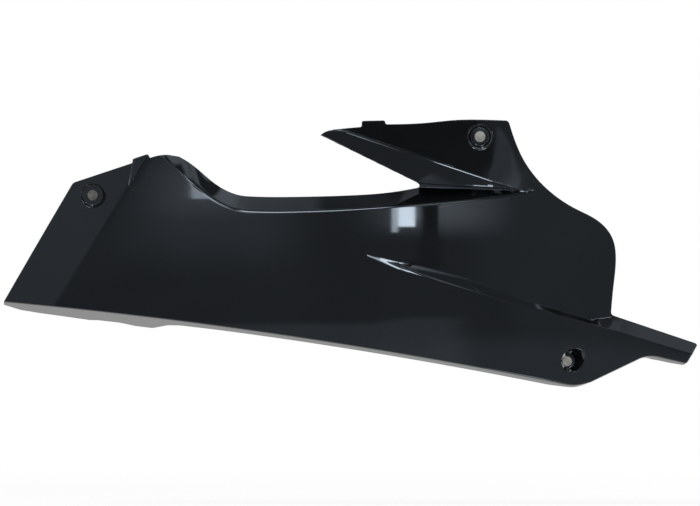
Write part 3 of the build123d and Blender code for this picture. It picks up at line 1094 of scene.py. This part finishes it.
@dataclass
class PanelMesh:
    """The panel as one closed mesh: two skins, a rounded rim and the bolt holes. Millimetres until it is placed."""

    form: PanelForm
    edge_radius: float = 0.6
    grid: float = 3.6
    row_step: float = 1.7
    clear: float = 0.42
    even_room: float = 0.55
    weld: float = 1e-5
    hole_sides: int = 48
    ring_start: float = 1.3
    ring_step: float = 0.75
    ring_spacing: float = 1.1
    seat_reach: float = 12.0
    bowl_reach: float = 4.0
    ledge_short: Place = (2.0, 40.0)
    lip_short: float = 0.15
    lip_draw: float = 0.25
    edge_turns: tuple[float, ...] = (30.0, 60.0, 90.0)
    rows: tuple[float, ...] = (-2.6, -1.6, -0.95, -0.45, 0.0, 0.45, 0.95, 1.6, 2.6)
    flange_rows: tuple[float, ...] = (
        -4.4, -3.0, -2.0, -1.3, -0.8, -0.4, 0.0, 0.35, 0.7, 1.1, 1.6, 2.2, 2.9, 3.8, 4.8, 6.0, 7.4, 9.0, 10.8,
    )
    vertices: list = field(default_factory=list)
    normals: list = field(default_factory=list)
    sides: list = field(default_factory=list)
    faces: list = field(default_factory=list)

    def loops(self) -> list[tuple[Array, Array, Array]]:
        """Gives the outline and the hole edges, each with the solid on its left.

        Returns:
            Outer places, inner places and lip marks of each loop.
        """
        outer, inner, lip = PanelOutline(self.form).rim().closed()
        found = [(outer[::-1], inner[::-1], lip[::-1])]
        turn = -np.linspace(0, 2 * math.pi, self.hole_sides, endpoint=False)
        ring = np.stack([np.cos(turn), np.sin(turn)], axis=1)
        for seat in self.form.seats:
            edge = np.array(seat.hole) + seat.hole_radius * ring
            found.append((edge, edge.copy(), np.zeros(len(edge), bool)))
        return found

    @staticmethod
    def away(loop: Array) -> Array:
        """Gives the unit step out of the solid at each place of a loop that has the solid on its left.

        Args:
            loop: Places along the loop.

        Returns:
            One unit step for each place.
        """
        run = np.roll(loop, -1, axis=0) - np.roll(loop, 1, axis=0)
        length = np.maximum(np.linalg.norm(run, axis=1), TINY)
        return np.stack([run[:, 1], -run[:, 0]], axis=1) / length[:, None]

    def feature_rows(self, skin: Skin) -> Array:
        """Places rows of points along every crease and edge of a skin.

        Args:
            skin: Which face of the wall.

        Returns:
            The places.
        """
        upper, lower, form = self.form.upper, self.form.lower, self.form
        inset = form.wall * skin.value
        lines = []
        x = np.arange(upper.band[0][0], upper.fin_heel[0], self.row_step)
        edge, _, slope = upper.bevel_slope(x)
        lines.append((x, edge + inset * (slope - np.hypot(1, slope))))
        steep = upper.return_steep()
        lines.append((x, upper.fin_line(x) + upper.fin_return + inset * upper.fin_run()))
        x = np.arange(upper.fin_heel[0], upper.groove_end[0], self.row_step)
        root, low, high, rise = upper.groove(x)
        at = form.face.depth(x, low)
        lines.append((x, low + rise * (at - root) + inset * (rise - math.hypot(1, rise))))
        lines.append((x, low + inset * (rise - math.hypot(1, rise))))
        lines.append((x, high + inset))
        lines.append((x, high + (root - at) / steep + inset))
        x = np.arange(lower.tip[0] + self.ledge_short[0], form.bottom.far - self.ledge_short[1], self.row_step)
        lines.extend((x, line) for line in lower.lines(x))
        paths = [np.stack(line, axis=1) for line in lines]
        rear = form.rear
        for line in (form.arm.ridge, (rear.crease_foot, rear.crease_top, rear.pocket_front)):
            corners = [straight(a, b, self.row_step)[:-1] for a, b in zip(line, line[1:])]
            path = np.concatenate(corners)
            paths.append(path - side_steps(path) * inset)
        paths.append(straight(rear.crease_top, rear.pocket_rear, self.row_step))
        found = [path + side_steps(path) * row for path in paths for row in self.rows]
        found.extend(self.seat_rows(inset))
        path = form.bottom.path
        away = -side_steps(path)
        width = form.bottom.width()
        for row in self.flange_rows:
            keep = row < width - self.lip_short
            found.append((path + away * (row - inset))[keep])
        return np.concatenate(found)

    def seat_rows(self, inset: float) -> list[Array]:
        """Places rings of points over the bolt seats.

        Args:
            inset: Distance behind the outer skin.

        Returns:
            The rings.
        """
        found = []
        for seat in self.form.seats:
            mouth = seat.seat_radius + self.seat_reach
            if seat.shift:
                mouth = seat.mouth_radius + seat.shift + self.bowl_reach
            for radius in np.arange(seat.hole_radius + self.ring_start, mouth + inset, self.ring_step):
                count = round(2 * math.pi * radius / self.ring_spacing)
                turn = np.linspace(0, 2 * math.pi, count, endpoint=False) + radius
                found.append(np.array(seat.hole) + radius * np.stack([np.cos(turn), np.sin(turn)], axis=1))
        return found

    def spread(self, loops: list[Array], skin: Skin) -> Array:
        """Spreads points over a skin, close together at its features and even elsewhere.

        Args:
            loops: The skin's outline and hole edges.
            skin: Which face of the wall.

        Returns:
            Places inside the outline, clear of each other and of the loops.
        """
        rows = self.feature_rows(skin)
        low, high = loops[0].min(axis=0), loops[0].max(axis=0)
        across = np.arange(low[0], high[0], self.grid)
        up = np.arange(low[1], high[1], self.grid * math.sqrt(3) / 2)
        even = np.array([(x + self.grid / 2 * (k % 2), z) for k, z in enumerate(up) for x in across])
        edge = np.concatenate([np.concatenate([a, (a + np.roll(a, -1, axis=0)) / 2]) for a in loops])
        taken = KDTree(len(edge) + len(rows) + len(even))
        taken_count = 0
        kept: list[Array] = []
        for places, room in ((edge, 0.0), (rows, self.clear), (even, self.grid * self.even_room)):
            if room:
                places = self.thinned(places[on_skin(places, loops)], taken, room)
                kept.append(places)
            for place in places:
                taken.insert((place[0], place[1], 0.0), taken_count)
                taken_count += 1
            taken.balance()
        return np.concatenate(kept)

    @staticmethod
    def thinned(places: Array, taken: KDTree, room: float) -> Array:
        """Drops places that lie too near ones already taken, or too near each other.

        Args:
            places: Places to thin.
            taken: Places already taken.
            room: Least distance.

        Returns:
            The places kept.
        """
        kept = []
        cells: dict[tuple[int, int], list] = {}
        for x, z in places:
            if taken.find((x, z, 0.0))[2] < room:
                continue
            cell = (math.floor(x / room), math.floor(z / room))
            near = (cells.get((cell[0] + i, cell[1] + j), ()) for i in (-1, 0, 1) for j in (-1, 0, 1))
            if any(math.hypot(x - a, z - b) < room for group in near for a, b in group):
                continue
            cells.setdefault(cell, []).append((x, z))
            kept.append((x, z))
        return np.array(kept).reshape(-1, 2)

    def add_skin(self, loops: list[Array], skin: Skin) -> list[list[int]]:
        """Adds a skin.

        Args:
            loops: The skin's outline and hole edges.
            skin: Which face of the wall.

        Returns:
            For each loop, the vertex of each of its places.
        """
        places = [place for loop in loops for place in loop]
        edges = []
        start = 0
        for loop in loops:
            count = len(loop)
            edges.extend((start + k, start + (k + 1) % count) for k in range(count))
            start += count
        points = np.concatenate([np.array(places), self.spread(loops, skin)])
        result = delaunay_2d_cdt([Vector(point) for point in points], edges, [], 0, self.weld)
        found, triangles, origins = result[0], result[2], result[3]
        flat = np.array([tuple(place) for place in found])
        corners = np.array([list(triangle) for triangle in triangles])
        corners = corners[on_skin(flat[corners].mean(axis=1), loops)]
        slopes = self.form.slopes(flat, skin)
        facing = np.stack([slopes[:, 0], -np.ones(len(flat)), slopes[:, 1]], axis=1)
        facing /= np.linalg.norm(facing, axis=1)[:, None]
        depth = self.form.depth(flat, skin)
        base = len(self.vertices)
        self.vertices.extend(np.stack([flat[:, 0], depth, flat[:, 1]], axis=1))
        self.normals.extend(facing if skin is Skin.OUTER else -facing)
        self.sides.extend([skin.value] * len(flat))
        if skin is Skin.INNER:
            corners = corners[:, ::-1]
        self.faces.extend((corners + base).tolist())
        index = {}
        for vertex, sources in enumerate(origins):
            for source in sources:
                index[source] = base + vertex
        start = 0
        rims = []
        for loop in loops:
            rims.append([index[start + k] for k in range(len(loop))])
            start += len(loop)
        return rims

    def add_rim(self, outer: list[int], inner: list[int], away: Array, lip: Array) -> None:
        """Closes the wall between the two skins with a rounded edge.

        Args:
            outer: Vertices along the outer skin.
            inner: Matched vertices along the inner skin.
            away: Unit step out of the solid at each of them.
            lip: Whether the wall ends looking back there.
        """
        a = np.array([self.vertices[k] for k in outer])
        b = np.array([self.vertices[k] for k in inner])
        facing = np.array([self.normals[k] for k in outer])
        across = b - a
        across /= np.maximum(np.linalg.norm(across, axis=1), TINY)[:, None]
        out = np.stack([away[:, 0], np.zeros(len(a)), away[:, 1]], axis=1)
        back = out - facing * np.sum(out * facing, axis=1)[:, None]
        out = np.where(lip[:, None], back, out)
        out -= across * np.sum(out * across, axis=1)[:, None]
        out /= np.maximum(np.linalg.norm(out, axis=1), TINY)[:, None]
        rows = [outer]
        for start, side, turns in ((a, 1.0, self.edge_turns), (b, -1.0, self.edge_turns[::-1])):
            for turn in turns:
                sine, cosine = math.sin(math.radians(turn)), math.cos(math.radians(turn))
                base = len(self.vertices)
                place = start + self.edge_radius * (out * sine + across * side * (1 - cosine))
                self.vertices.extend(place)
                self.normals.extend(out * sine - across * side * cosine)
                self.sides.extend([0.5 - 0.5 * side * cosine] * len(a))
                rows.append(list(range(base, base + len(a))))
        rows.append(inner)
        count = len(outer)
        for near, far in zip(rows, rows[1:]):
            for k in range(count):
                j = (k + 1) % count
                corners = list(dict.fromkeys((near[j], near[k], far[k], far[j])))
                if len(corners) > 2:
                    self.faces.append(corners)

    def build(self) -> bpy.types.Object:
        """Builds the panel's mesh object.

        Returns:
            The object, in metres, in the frame.
        """
        loops = self.loops()
        outers, inners, aways = [], [], []
        for outer, inner, lip in loops:
            away = self.away(outer)
            draw_in = np.where(lip, self.lip_draw, 1.0)[:, None] * self.edge_radius
            aways.append(away)
            outers.append(outer - away * draw_in)
            inners.append(inner - away * draw_in)
        outer_rims = self.add_skin(outers, Skin.OUTER)
        inner_rims = self.add_skin(inners, Skin.INNER)
        for outer, inner, away, (_, _, lip) in zip(outer_rims, inner_rims, aways, loops):
            self.add_rim(outer, inner, away, lip)
        mesh = bpy.data.meshes.new("gloss_panel")
        mesh.from_pydata((np.array(self.vertices) * MM).tolist(), [], self.faces)
        side = mesh.attributes.new("inner_side", "FLOAT", "POINT")
        side.data.foreach_set("value", np.array(self.sides, np.float32))
        mesh.shade_smooth()
        mesh.normals_split_custom_set_from_vertices([tuple(normal) for normal in self.normals])
        panel = bpy.data.objects.new("gloss_panel", mesh)
        bpy.context.scene.collection.objects.link(panel)
        return panel


class Nodes:
    """Small helper that adds and joins shader nodes."""

    def __init__(self, tree: bpy.types.NodeTree) -> None:
        """Keeps the node tree to add to, emptied."""
        self.tree = tree
        tree.nodes.clear()

    @classmethod
    def material(cls, name: str) -> tuple[bpy.types.Material, "Nodes"]:
        """Starts a material.

        Args:
            name: Its name.

        Returns:
            The material, and a helper for its nodes.
        """
        material = bpy.data.materials.new(name)
        material.use_nodes = True
        return material, cls(material.node_tree)

    def add(self, kind: str, **inputs: object) -> bpy.types.Node:
        """Adds a node.

        Args:
            kind: Blender's name of the node's type.
            **inputs: Values, or sockets to join, by input name with underscores for spaces.

        Returns:
            The node.
        """
        node = self.tree.nodes.new(kind)
        for name, value in inputs.items():
            self.put(node.inputs[name.replace("_", " ")], value)
        return node

    def put(self, socket: Socket, value: object) -> None:
        """Sets a socket's value, or joins another socket to it."""
        if isinstance(value, Socket):
            self.tree.links.new(value, socket)
        else:
            socket.default_value = value

    def math(self, operation: str, *values: object) -> Socket:
        """Adds a math node.

        Args:
            operation: What it does.
            *values: Its numbers or sockets.

        Returns:
            Its result.
        """
        node = self.tree.nodes.new("ShaderNodeMath")
        node.operation = operation
        return self.fill(node, values)

    def fill(self, node: bpy.types.Node, values: tuple) -> Socket:
        """Fills a node's inputs in order.

        Args:
            node: The node.
            values: Numbers or sockets, from its first input on.

        Returns:
            The node's first output.
        """
        for socket, value in zip(node.inputs, values):
            self.put(socket, value)
        return node.outputs[0]

    def place(self) -> Socket:
        """Gives the position on the object."""
        return self.add("ShaderNodeTexCoord").outputs["Object"]

    def noise(self, place: Socket, scale: float, detail: float) -> Socket:
        """Adds noise of a scale and detail, from 0 to 1."""
        return self.add("ShaderNodeTexNoise", Vector=place, Scale=scale, Detail=detail).outputs["Fac"]

    def glow(self, colour: Colour, strength: object) -> Socket:
        """Adds light of a colour and strength."""
        return self.add("ShaderNodeEmission", Color=colour, Strength=strength).outputs["Emission"]

    def mixed(self, share: object, *shaders: Socket) -> Socket:
        """Mixes two shaders by the share of the second."""
        return self.fill(self.tree.nodes.new("ShaderNodeMixShader"), (share, *shaders))

    def seen(self) -> Socket:
        """Tells rays of sight from rays of light.

        Returns:
            1 for rays from the camera, reflected or passed through, and 0 for others.
        """
        path = self.add("ShaderNodeLightPath").outputs
        ray = self.math("ADD", path["Is Camera Ray"], path["Is Glossy Ray"])
        return self.math("MINIMUM", self.math("ADD", ray, path["Is Transmission Ray"]), 1.0)

    def span(self, value: object, *ends: float) -> Socket:
        """Maps a value from one span to another, smoothly.

        Args:
            value: Socket to map.
            *ends: Start and end of its span, then the results there, which are 0 and 1 if left out.

        Returns:
            The result.
        """
        node = self.tree.nodes.new("ShaderNodeMapRange")
        node.interpolation_type = "SMOOTHSTEP"
        return self.fill(node, (value, *ends, *(0.0, 1.0)[len(ends) - 2 :]))


@dataclass(frozen=True)
class GlossBlack:
    """Black moulded plastic: polished outside, satin inside, with a trace of handling marks.

    Each noise is given by its scale and detail.
    """

    deep: Colour = (0.0022, 0.0025, 0.0028, 1.0)
    pale: Colour = (0.0045, 0.0050, 0.0056, 1.0)
    cloud: Place = (9.0, 4.0)
    cloud_span: Place = (0.3, 0.7)
    inner_span: Place = (0.35, 0.65)
    polished: float = 0.03
    satin: float = 0.42
    haze: Place = (60.0, 6.0)
    haze_span: Place = (0.35, 0.75)
    haze_rough: float = 0.02
    mark_rough: float = 0.10
    ripple: float = 0.004
    ripple_noise: Place = (75.0, 2.0)
    grain: float = 0.16
    grain_noise: Place = (900.0, 3.0)
    bump: float = 0.25
    bump_depth: float = 0.0006
    ior: float = 1.5
    streak: Place = (2.0, 5.0)
    streak_scale: Point = (16.0, 16.0, 120.0)
    streak_turn: Point = (0.0, -0.25, 0.0)
    streak_span: Place = (0.5, 0.7)
    rubbed: Place = (-0.215, -0.133)
    rubbed_half: Place = (0.045, 0.018)
    rubbed_core: float = 0.3

    def material(self) -> bpy.types.Material:
        """Makes the material.

        Returns:
            The material.
        """
        material, nodes = Nodes.material("gloss_black")
        place = nodes.place()
        side = nodes.add("ShaderNodeAttribute")
        side.attribute_name = "inner_side"
        inner = nodes.span(side.outputs["Fac"], *self.inner_span)
        tint = nodes.add("ShaderNodeMix")
        tint.data_type = "RGBA"
        cloud = nodes.noise(place, *self.cloud)
        nodes.put(tint.inputs["Factor"], nodes.span(cloud, *self.cloud_span))
        nodes.put(tint.inputs["A"], self.deep)
        nodes.put(tint.inputs["B"], self.pale)
        haze = nodes.span(nodes.noise(place, *self.haze), *self.haze_span)
        rough = nodes.math("ADD", self.polished, nodes.math("MULTIPLY", haze, self.haze_rough))
        rough = nodes.math("ADD", rough, nodes.math("MULTIPLY", self.marks(nodes, place), self.mark_rough))
        shift = nodes.math("SUBTRACT", self.satin, rough)
        rough = nodes.math("ADD", rough, nodes.math("MULTIPLY", shift, inner))
        height = nodes.math("MULTIPLY", nodes.noise(place, *self.ripple_noise), self.ripple)
        grain = nodes.math("MULTIPLY", nodes.noise(place, *self.grain_noise), inner)
        height = nodes.math("ADD", height, nodes.math("MULTIPLY", grain, self.grain))
        bump = nodes.add("ShaderNodeBump", Strength=self.bump, Distance=self.bump_depth, Height=height)
        shader = nodes.add("ShaderNodeBsdfPrincipled", Roughness=rough, Normal=bump.outputs["Normal"], IOR=self.ior)
        nodes.put(shader.inputs["Base Color"], tint.outputs["Result"])
        nodes.add("ShaderNodeOutputMaterial", Surface=shader.outputs["BSDF"])
        return material

    def marks(self, nodes: Nodes, place: Socket) -> Socket:
        """Adds the faint rubbed streaks on the long face.

        Args:
            nodes: Where to add them.
            place: Position on the panel.

        Returns:
            How strong the marks are, from 0 to 1.
        """
        stretch = nodes.add("ShaderNodeMapping", Vector=place, Scale=self.streak_scale, Rotation=self.streak_turn)
        strength = nodes.span(nodes.noise(stretch.outputs["Vector"], *self.streak), *self.streak_span)
        axes = nodes.add("ShaderNodeSeparateXYZ", Vector=place)
        for axis, middle, half in zip("XZ", self.rubbed, self.rubbed_half):
            off = nodes.math("ABSOLUTE", nodes.math("SUBTRACT", axes.outputs[axis], middle))
            strength = nodes.math("MULTIPLY", strength, nodes.span(off, self.rubbed_core * half, half, 1.0, 0.0))
        return strength


@dataclass(frozen=True)
class SoftBox:
    """A soft-edged lighter or darker field of the studio dome.

    Sizes are shares of the dome's radius, across and up as seen from the front, and the turn is in degrees. A field
    that has a span `behind` comes in over that span of depth and lies behind it.
    """

    name: str
    middle: Place
    half: Place
    fade: Place
    light: float
    turn: float = 0.0
    behind: Place | None = None


@dataclass
class Studio:
    """A plain pale floor, a white surround and a dome of soft fields that only the gloss reflects."""

    floor_z: float = -0.37
    floor_back: float = 8.0
    floor_front: float = -0.08
    floor_half: float = 6.0
    floor_tones: Place = (0.88, 0.92)
    speck: Place = (40.0, 3.0)
    speck_span: Place = (0.2, 0.8)
    shade_reach: Place = (0.5, 2.2)
    shade_least: float = 0.75
    surround: float = 0.55
    lamp_size: float = 1.6
    lamps: tuple[tuple[str, Point, float], ...] = (
        ("key_lamp", (-1.2, -1.6, 2.2), 40.0),
        ("fill_lamp", (1.6, 1.2, 2.0), 30.0),
    )
    dome_rings: int = 48
    dome_sides: int = 96
    dome_radius: float = 2.0
    dome_back: float = 0.5
    dome_light: float = 0.27
    dome_least: float = 0.07
    tint: Colour = (0.86, 1.0, 1.16, 1.0)
    card_tint: Colour = (1.0, 1.0, 0.94, 1.0)
    shade_card_tones: tuple[float, ...] = (0.26, 0.10, 0.20)
    card_margin: float = 1.6
    card_gap: float = 3.0
    card_sides: int = 24
    card_cloud: Place = (220.0, 2.0)
    card_span: Place = (0.3, 0.7)
    card_spread: Place = (0.8, 1.2)
    boxes: tuple[SoftBox, ...] = (
        SoftBox("window_pane", (0.0675, 0.009), (0.0135, 0.036), (0.004, 0.008), 16.0),
        SoftBox("window_strip", (0.046, 0.0), (0.004, 0.050), (0.003, 0.008), 7.0),
        SoftBox("window_glow", (0.135, 0.05), (0.0, 0.02), (0.18, 0.13), 1.15),
        SoftBox("window_jamb", (0.112, 0.05), (0.014, 0.02), (0.004, 0.13), -1.2),
        SoftBox("jamb_shade", (0.112, -0.08), (0.012, 0.1), (0.025, 0.08), -0.1),
        SoftBox("seat_shade", (0.065, 0.062), (0.014, 0.008), (0.004, 0.003), -1.0),
        SoftBox("rear_wall", (-0.6, 0.0), (0.22, 0.4), (0.05, 0.2), 0.25),
        SoftBox("rear_glow", (-0.2, 0.02), (0.03, 0.03), (0.11, 0.28), 0.27),
        SoftBox("rear_window", (-0.195, 0.132), (0.035, 0.053), (0.003, 0.004), 4.4),
        SoftBox("peak_glow", (-0.22, 0.12), (0.01, 0.03), (0.06, 0.12), 0.4),
        SoftBox("rear_lamp", (-0.117, 0.207), (0.016, 0.1), (0.008, 0.02), 6.0, -35.8),
        SoftBox("front_wall", (0.45, -0.15), (0.2, 0.3), (0.1, 0.2), 0.1),
        SoftBox("ground", (-0.35, -0.75), (0.4, 0.28), (0.08, 0.035), 0.25),
        SoftBox("front_ground", (0.5, -0.8), (0.4, 0.2), (0.15, 0.12), 0.22),
        SoftBox("dark_card", (0.03, 0.203), (0.12, 0.02), (0.03, 0.02), -0.19),
        SoftBox("slant_card", (0.141, 0.148), (0.062, 0.069), (0.03, 0.004), 0.47, 47.6),
        SoftBox("strip_lamp", (-0.105, 0.72), (0.075, 0.14), (0.02, 0.03), 12.0),
        SoftBox("strip_end", (0.08, 0.56), (0.04, 0.09), (0.03, 0.03), 5.0),
        SoftBox("ceiling", (0.5, 1.0), (0.2, 0.2), (0.45, 0.08), 0.9, 0.0, (-0.12, -0.05)),
        SoftBox("ledge_shade", (0.5, 0.86), (0.05, 0.03), (0.05, 0.03), -1.05, 0.0, (-0.05, 0.02)),
        SoftBox("ridge_lamp", (0.32, 0.6), (0.06, 0.07), (0.02, 0.02), 16.0),
        SoftBox("groove_card", (0.19, -0.76), (0.06, 0.05), (0.02, 0.02), 10.0),
        SoftBox("band_glow", (-0.06, 0.99), (0.06, 0.01), (0.1, 0.06), 0.2),
        SoftBox("rear_ceiling", (-0.06, 0.88), (0.03, 0.05), (0.05, 0.012), -0.25),
        SoftBox("front_lamp", (0.74, 0.54), (0.13, 0.06), (0.14, 0.1), 0.62),
    )

    def world(self) -> None:
        """Makes the surround: white to see, softer as light."""
        world = bpy.data.worlds.new("white_surround")
        bpy.context.scene.world = world
        world.use_nodes = True
        nodes = Nodes(world.node_tree)
        strength = nodes.math("ADD", self.surround, nodes.math("MULTIPLY", nodes.seen(), 1.0 - self.surround))
        back = nodes.add("ShaderNodeBackground", Color=WHITE, Strength=strength)
        nodes.add("ShaderNodeOutputWorld", Surface=back.outputs["Background"])

    @staticmethod
    def piece(name: str, places: list[Point], faces: list, hidden: tuple[str, ...] = ()) -> bpy.types.Object:
        """Makes a piece for the stage.

        Args:
            name: Its name.
            places: Its corners.
            faces: Its faces, by corner.
            hidden: Kinds of rays that don't see it.

        Returns:
            The object.
        """
        mesh = bpy.data.meshes.new(name)
        mesh.from_pydata(places, [], faces)
        piece = bpy.data.objects.new(name, mesh)
        bpy.context.scene.collection.objects.link(piece)
        for kind in hidden:
            setattr(piece, f"visible_{kind}", False)
        return piece

    def floor(self, middle_x: float) -> None:
        """Lays the pale floor.

        Args:
            middle_x: Middle of the object along the bike.
        """
        left, right = middle_x - self.floor_half, middle_x + self.floor_half
        near, far, z = self.floor_front, self.floor_back, self.floor_z
        corners = [(left, near, z), (right, near, z), (right, far, z), (left, far, z)]
        floor = self.piece("studio_floor", corners, [(0, 1, 2, 3)])
        material, nodes = Nodes.material("pale_floor")
        place = nodes.place()
        tone = nodes.span(nodes.noise(place, *self.speck), *self.speck_span, *self.floor_tones)
        colour = nodes.add("ShaderNodeCombineColor", Red=tone, Green=tone, Blue=tone)
        matte = nodes.add("ShaderNodeBsdfDiffuse", Color=colour.outputs["Color"])
        off = nodes.add("ShaderNodeVectorMath", Vector=place)
        off.operation = "DISTANCE"
        off.inputs[1].default_value = (middle_x, 0.0, self.floor_z)
        white = nodes.span(off.outputs["Value"], *self.shade_reach, self.shade_least, 1.0)
        share = nodes.math("MULTIPLY", nodes.seen(), white)
        floor_glow = nodes.mixed(share, matte.outputs["BSDF"], nodes.glow(WHITE, 1.0))
        nodes.add("ShaderNodeOutputMaterial", Surface=floor_glow)
        floor.data.materials.append(material)

    def dome(self, middle: Vector) -> None:
        """Hangs the dim dome in front of and over the object, which only reflections see.

        Args:
            middle: Middle of the object.
        """
        sides = self.dome_sides
        places, faces = [], []
        for angle in np.linspace(0.0, math.pi, self.dome_rings + 1):
            for side in np.linspace(0.0, 2 * math.pi, sides, endpoint=False):
                ring = math.sin(angle)
                places.append((ring * math.cos(side), ring * math.sin(side), math.cos(angle)))
        for k in range(self.dome_rings):
            for j in range(sides):
                near, far = k * sides + j, k * sides + (j + 1) % sides
                corners = (near, far, far + sides, near + sides)
                if max(places[corner][1] for corner in corners) < self.dome_back:
                    faces.append(corners)
        places = [tuple(value * self.dome_radius for value in place) for place in places]
        dome = self.piece("studio_dome", places, faces, ("camera", "diffuse", "transmission", "shadow"))
        dome.location = middle
        material, nodes = Nodes.material("dim_dome")
        axes = nodes.add("ShaderNodeSeparateXYZ", Vector=nodes.place())
        light: object = self.dome_light
        for box in self.boxes:
            light = nodes.math("ADD", light, nodes.math("MULTIPLY", self.field(nodes, axes, box), box.light))
        light = nodes.math("MAXIMUM", light, self.dome_least)
        nodes.add("ShaderNodeOutputMaterial", Surface=nodes.glow(self.tint, light))
        dome.data.materials.append(material)

    def field(self, nodes: Nodes, axes: bpy.types.Node, box: SoftBox) -> Socket:
        """Adds one soft-edged field of the dome.

        Args:
            nodes: Where to add it.
            axes: Node that gives the place on the dome.
            box: The field.

        Returns:
            1 in the field and 0 outside it.
        """
        scale = self.dome_radius
        across = nodes.math("SUBTRACT", axes.outputs["X"], box.middle[0] * scale)
        up = nodes.math("SUBTRACT", axes.outputs["Z"], box.middle[1] * scale)
        if box.turn:
            cosine, sine = math.cos(math.radians(box.turn)), math.sin(math.radians(box.turn))
            turned = nodes.math("ADD", nodes.math("MULTIPLY", across, cosine), nodes.math("MULTIPLY", up, sine))
            up = nodes.math("SUBTRACT", nodes.math("MULTIPLY", up, cosine), nodes.math("MULTIPLY", across, sine))
            across = turned
        sides = []
        for off, half, fade in zip((across, up), box.half, box.fade):
            off = nodes.math("ABSOLUTE", off)
            sides.append(nodes.span(off, half * scale, (half + fade) * scale, 1.0, 0.0))
        share = nodes.math("MULTIPLY", *sides)
        if box.behind:
            edges = [edge * scale for edge in box.behind]
            share = nodes.math("MULTIPLY", share, nodes.span(axes.outputs["Y"], *edges))
        share.node.label = box.name
        return share

    def hole_shade_card(self, seat: BoltSeat, wall: float, tone: float) -> None:
        """Sets a small card close behind a bolt hole that glows grey to the camera only: painted shade that stands
        for the shaded backdrop seen through it.

        Args:
            seat: The hole's seat.
            wall: Thickness of the panel.
            tone: Tone of the painted shade, where 1 is white.
        """
        turn = np.linspace(0, 2 * math.pi, self.card_sides, endpoint=False)
        radius = seat.hole_radius + self.card_margin
        y = seat.floor + wall + self.card_gap
        across, up = seat.hole[0] + radius * np.cos(turn), seat.hole[1] + radius * np.sin(turn)
        places = [(x * MM, y * MM, z * MM) for x, z in zip(across, up)]
        face = tuple(range(len(places)))
        card = self.piece("hole_shade_card", places, [face], ("diffuse", "glossy", "transmission", "shadow"))
        material, nodes = Nodes.material("painted_shade_card")
        cloud = nodes.noise(nodes.place(), *self.card_cloud)
        light = nodes.span(cloud, *self.card_span, *(share * tone for share in self.card_spread))
        clear = nodes.add("ShaderNodeBsdfTransparent").outputs["BSDF"]
        back = nodes.add("ShaderNodeNewGeometry").outputs["Backfacing"]
        # The card's grey glow is painted shade, seen from its front only.
        one_sided = nodes.mixed(back, nodes.glow(self.card_tint, light), clear)
        nodes.add("ShaderNodeOutputMaterial", Surface=one_sided)
        card.data.materials.append(material)

    def hang_lamps(self, middle: Vector) -> None:
        """Hangs the soft lamps, turned to the object.

        Args:
            middle: Middle of the object.
        """
        for name, place, energy in self.lamps:
            light = bpy.data.lights.new(name, "AREA")
            light.size = self.lamp_size
            light.energy = energy
            offset = Vector(place)
            lamp = bpy.data.objects.new(name, light)
            lamp.location = middle + offset
            lamp.rotation_euler = (-offset).to_track_quat("-Z", "Y").to_euler()
            lamp.visible_glossy = False
            bpy.context.scene.collection.objects.link(lamp)

    def build(self, middle: Vector, form: PanelForm) -> None:
        """Sets up the studio round the object.

        Args:
            middle: Middle of the object.
            form: The panel's form, for the painted-shade cards behind its holes.
        """
        self.world()
        self.floor(middle.x)
        self.dome(middle)
        for seat, tone in zip(form.seats, self.shade_card_tones):
            self.hole_shade_card(seat, form.wall, tone)
        self.hang_lamps(middle)
        bpy.context.scene.view_settings.view_transform = "Standard"


@dataclass(frozen=True)
class PhotoCamera:
    """The camera: square to the panel's side, from far off."""

    image: tuple[int, int] = (700, 506)
    millimetre_a_pixel: float = 1.0
    origin_pixel: tuple[float, float] = (480.0, 136.5)
    distance: float = 12.0
    sensor: float = 36.0
    clip_end: float = 100.0

    def build(self) -> None:
        """Places the camera so that the image shows the panel at the photograph's place and size."""
        scale = self.millimetre_a_pixel * MM
        data = bpy.data.cameras.new("photo_camera")
        data.sensor_fit = "HORIZONTAL"
        data.sensor_width = self.sensor
        data.lens = self.sensor * self.distance / (self.image[0] * scale)
        data.clip_end = self.clip_end
        camera = bpy.data.objects.new("photo_camera", data)
        across = (self.image[0] / 2 - self.origin_pixel[0]) * scale
        up = (self.origin_pixel[1] - self.image[1] / 2) * scale
        camera.location = (across, -self.distance, up)
        camera.rotation_euler = (math.pi / 2, 0.0, 0.0)
        bpy.context.scene.collection.objects.link(camera)
        bpy.context.scene.camera = camera


def main() -> None:
    """Builds the panel, its finish, the studio and the camera."""
    logging.basicConfig(level=logging.INFO, format="%(message)s")
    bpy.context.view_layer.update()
    low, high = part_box("belly_pan")
    middle = (low + high) / 2
    form = PanelForm()
    panel = PanelMesh(form).build()
    panel.data.materials.append(GlossBlack().material())
    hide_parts("belly_pan")
    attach(panel, "root")
    LOG.info("gloss_panel: %d faces", len(panel.data.polygons))
    Studio().build(middle, form)
    PhotoCamera().build()


if __name__ == "__main__":
    main()
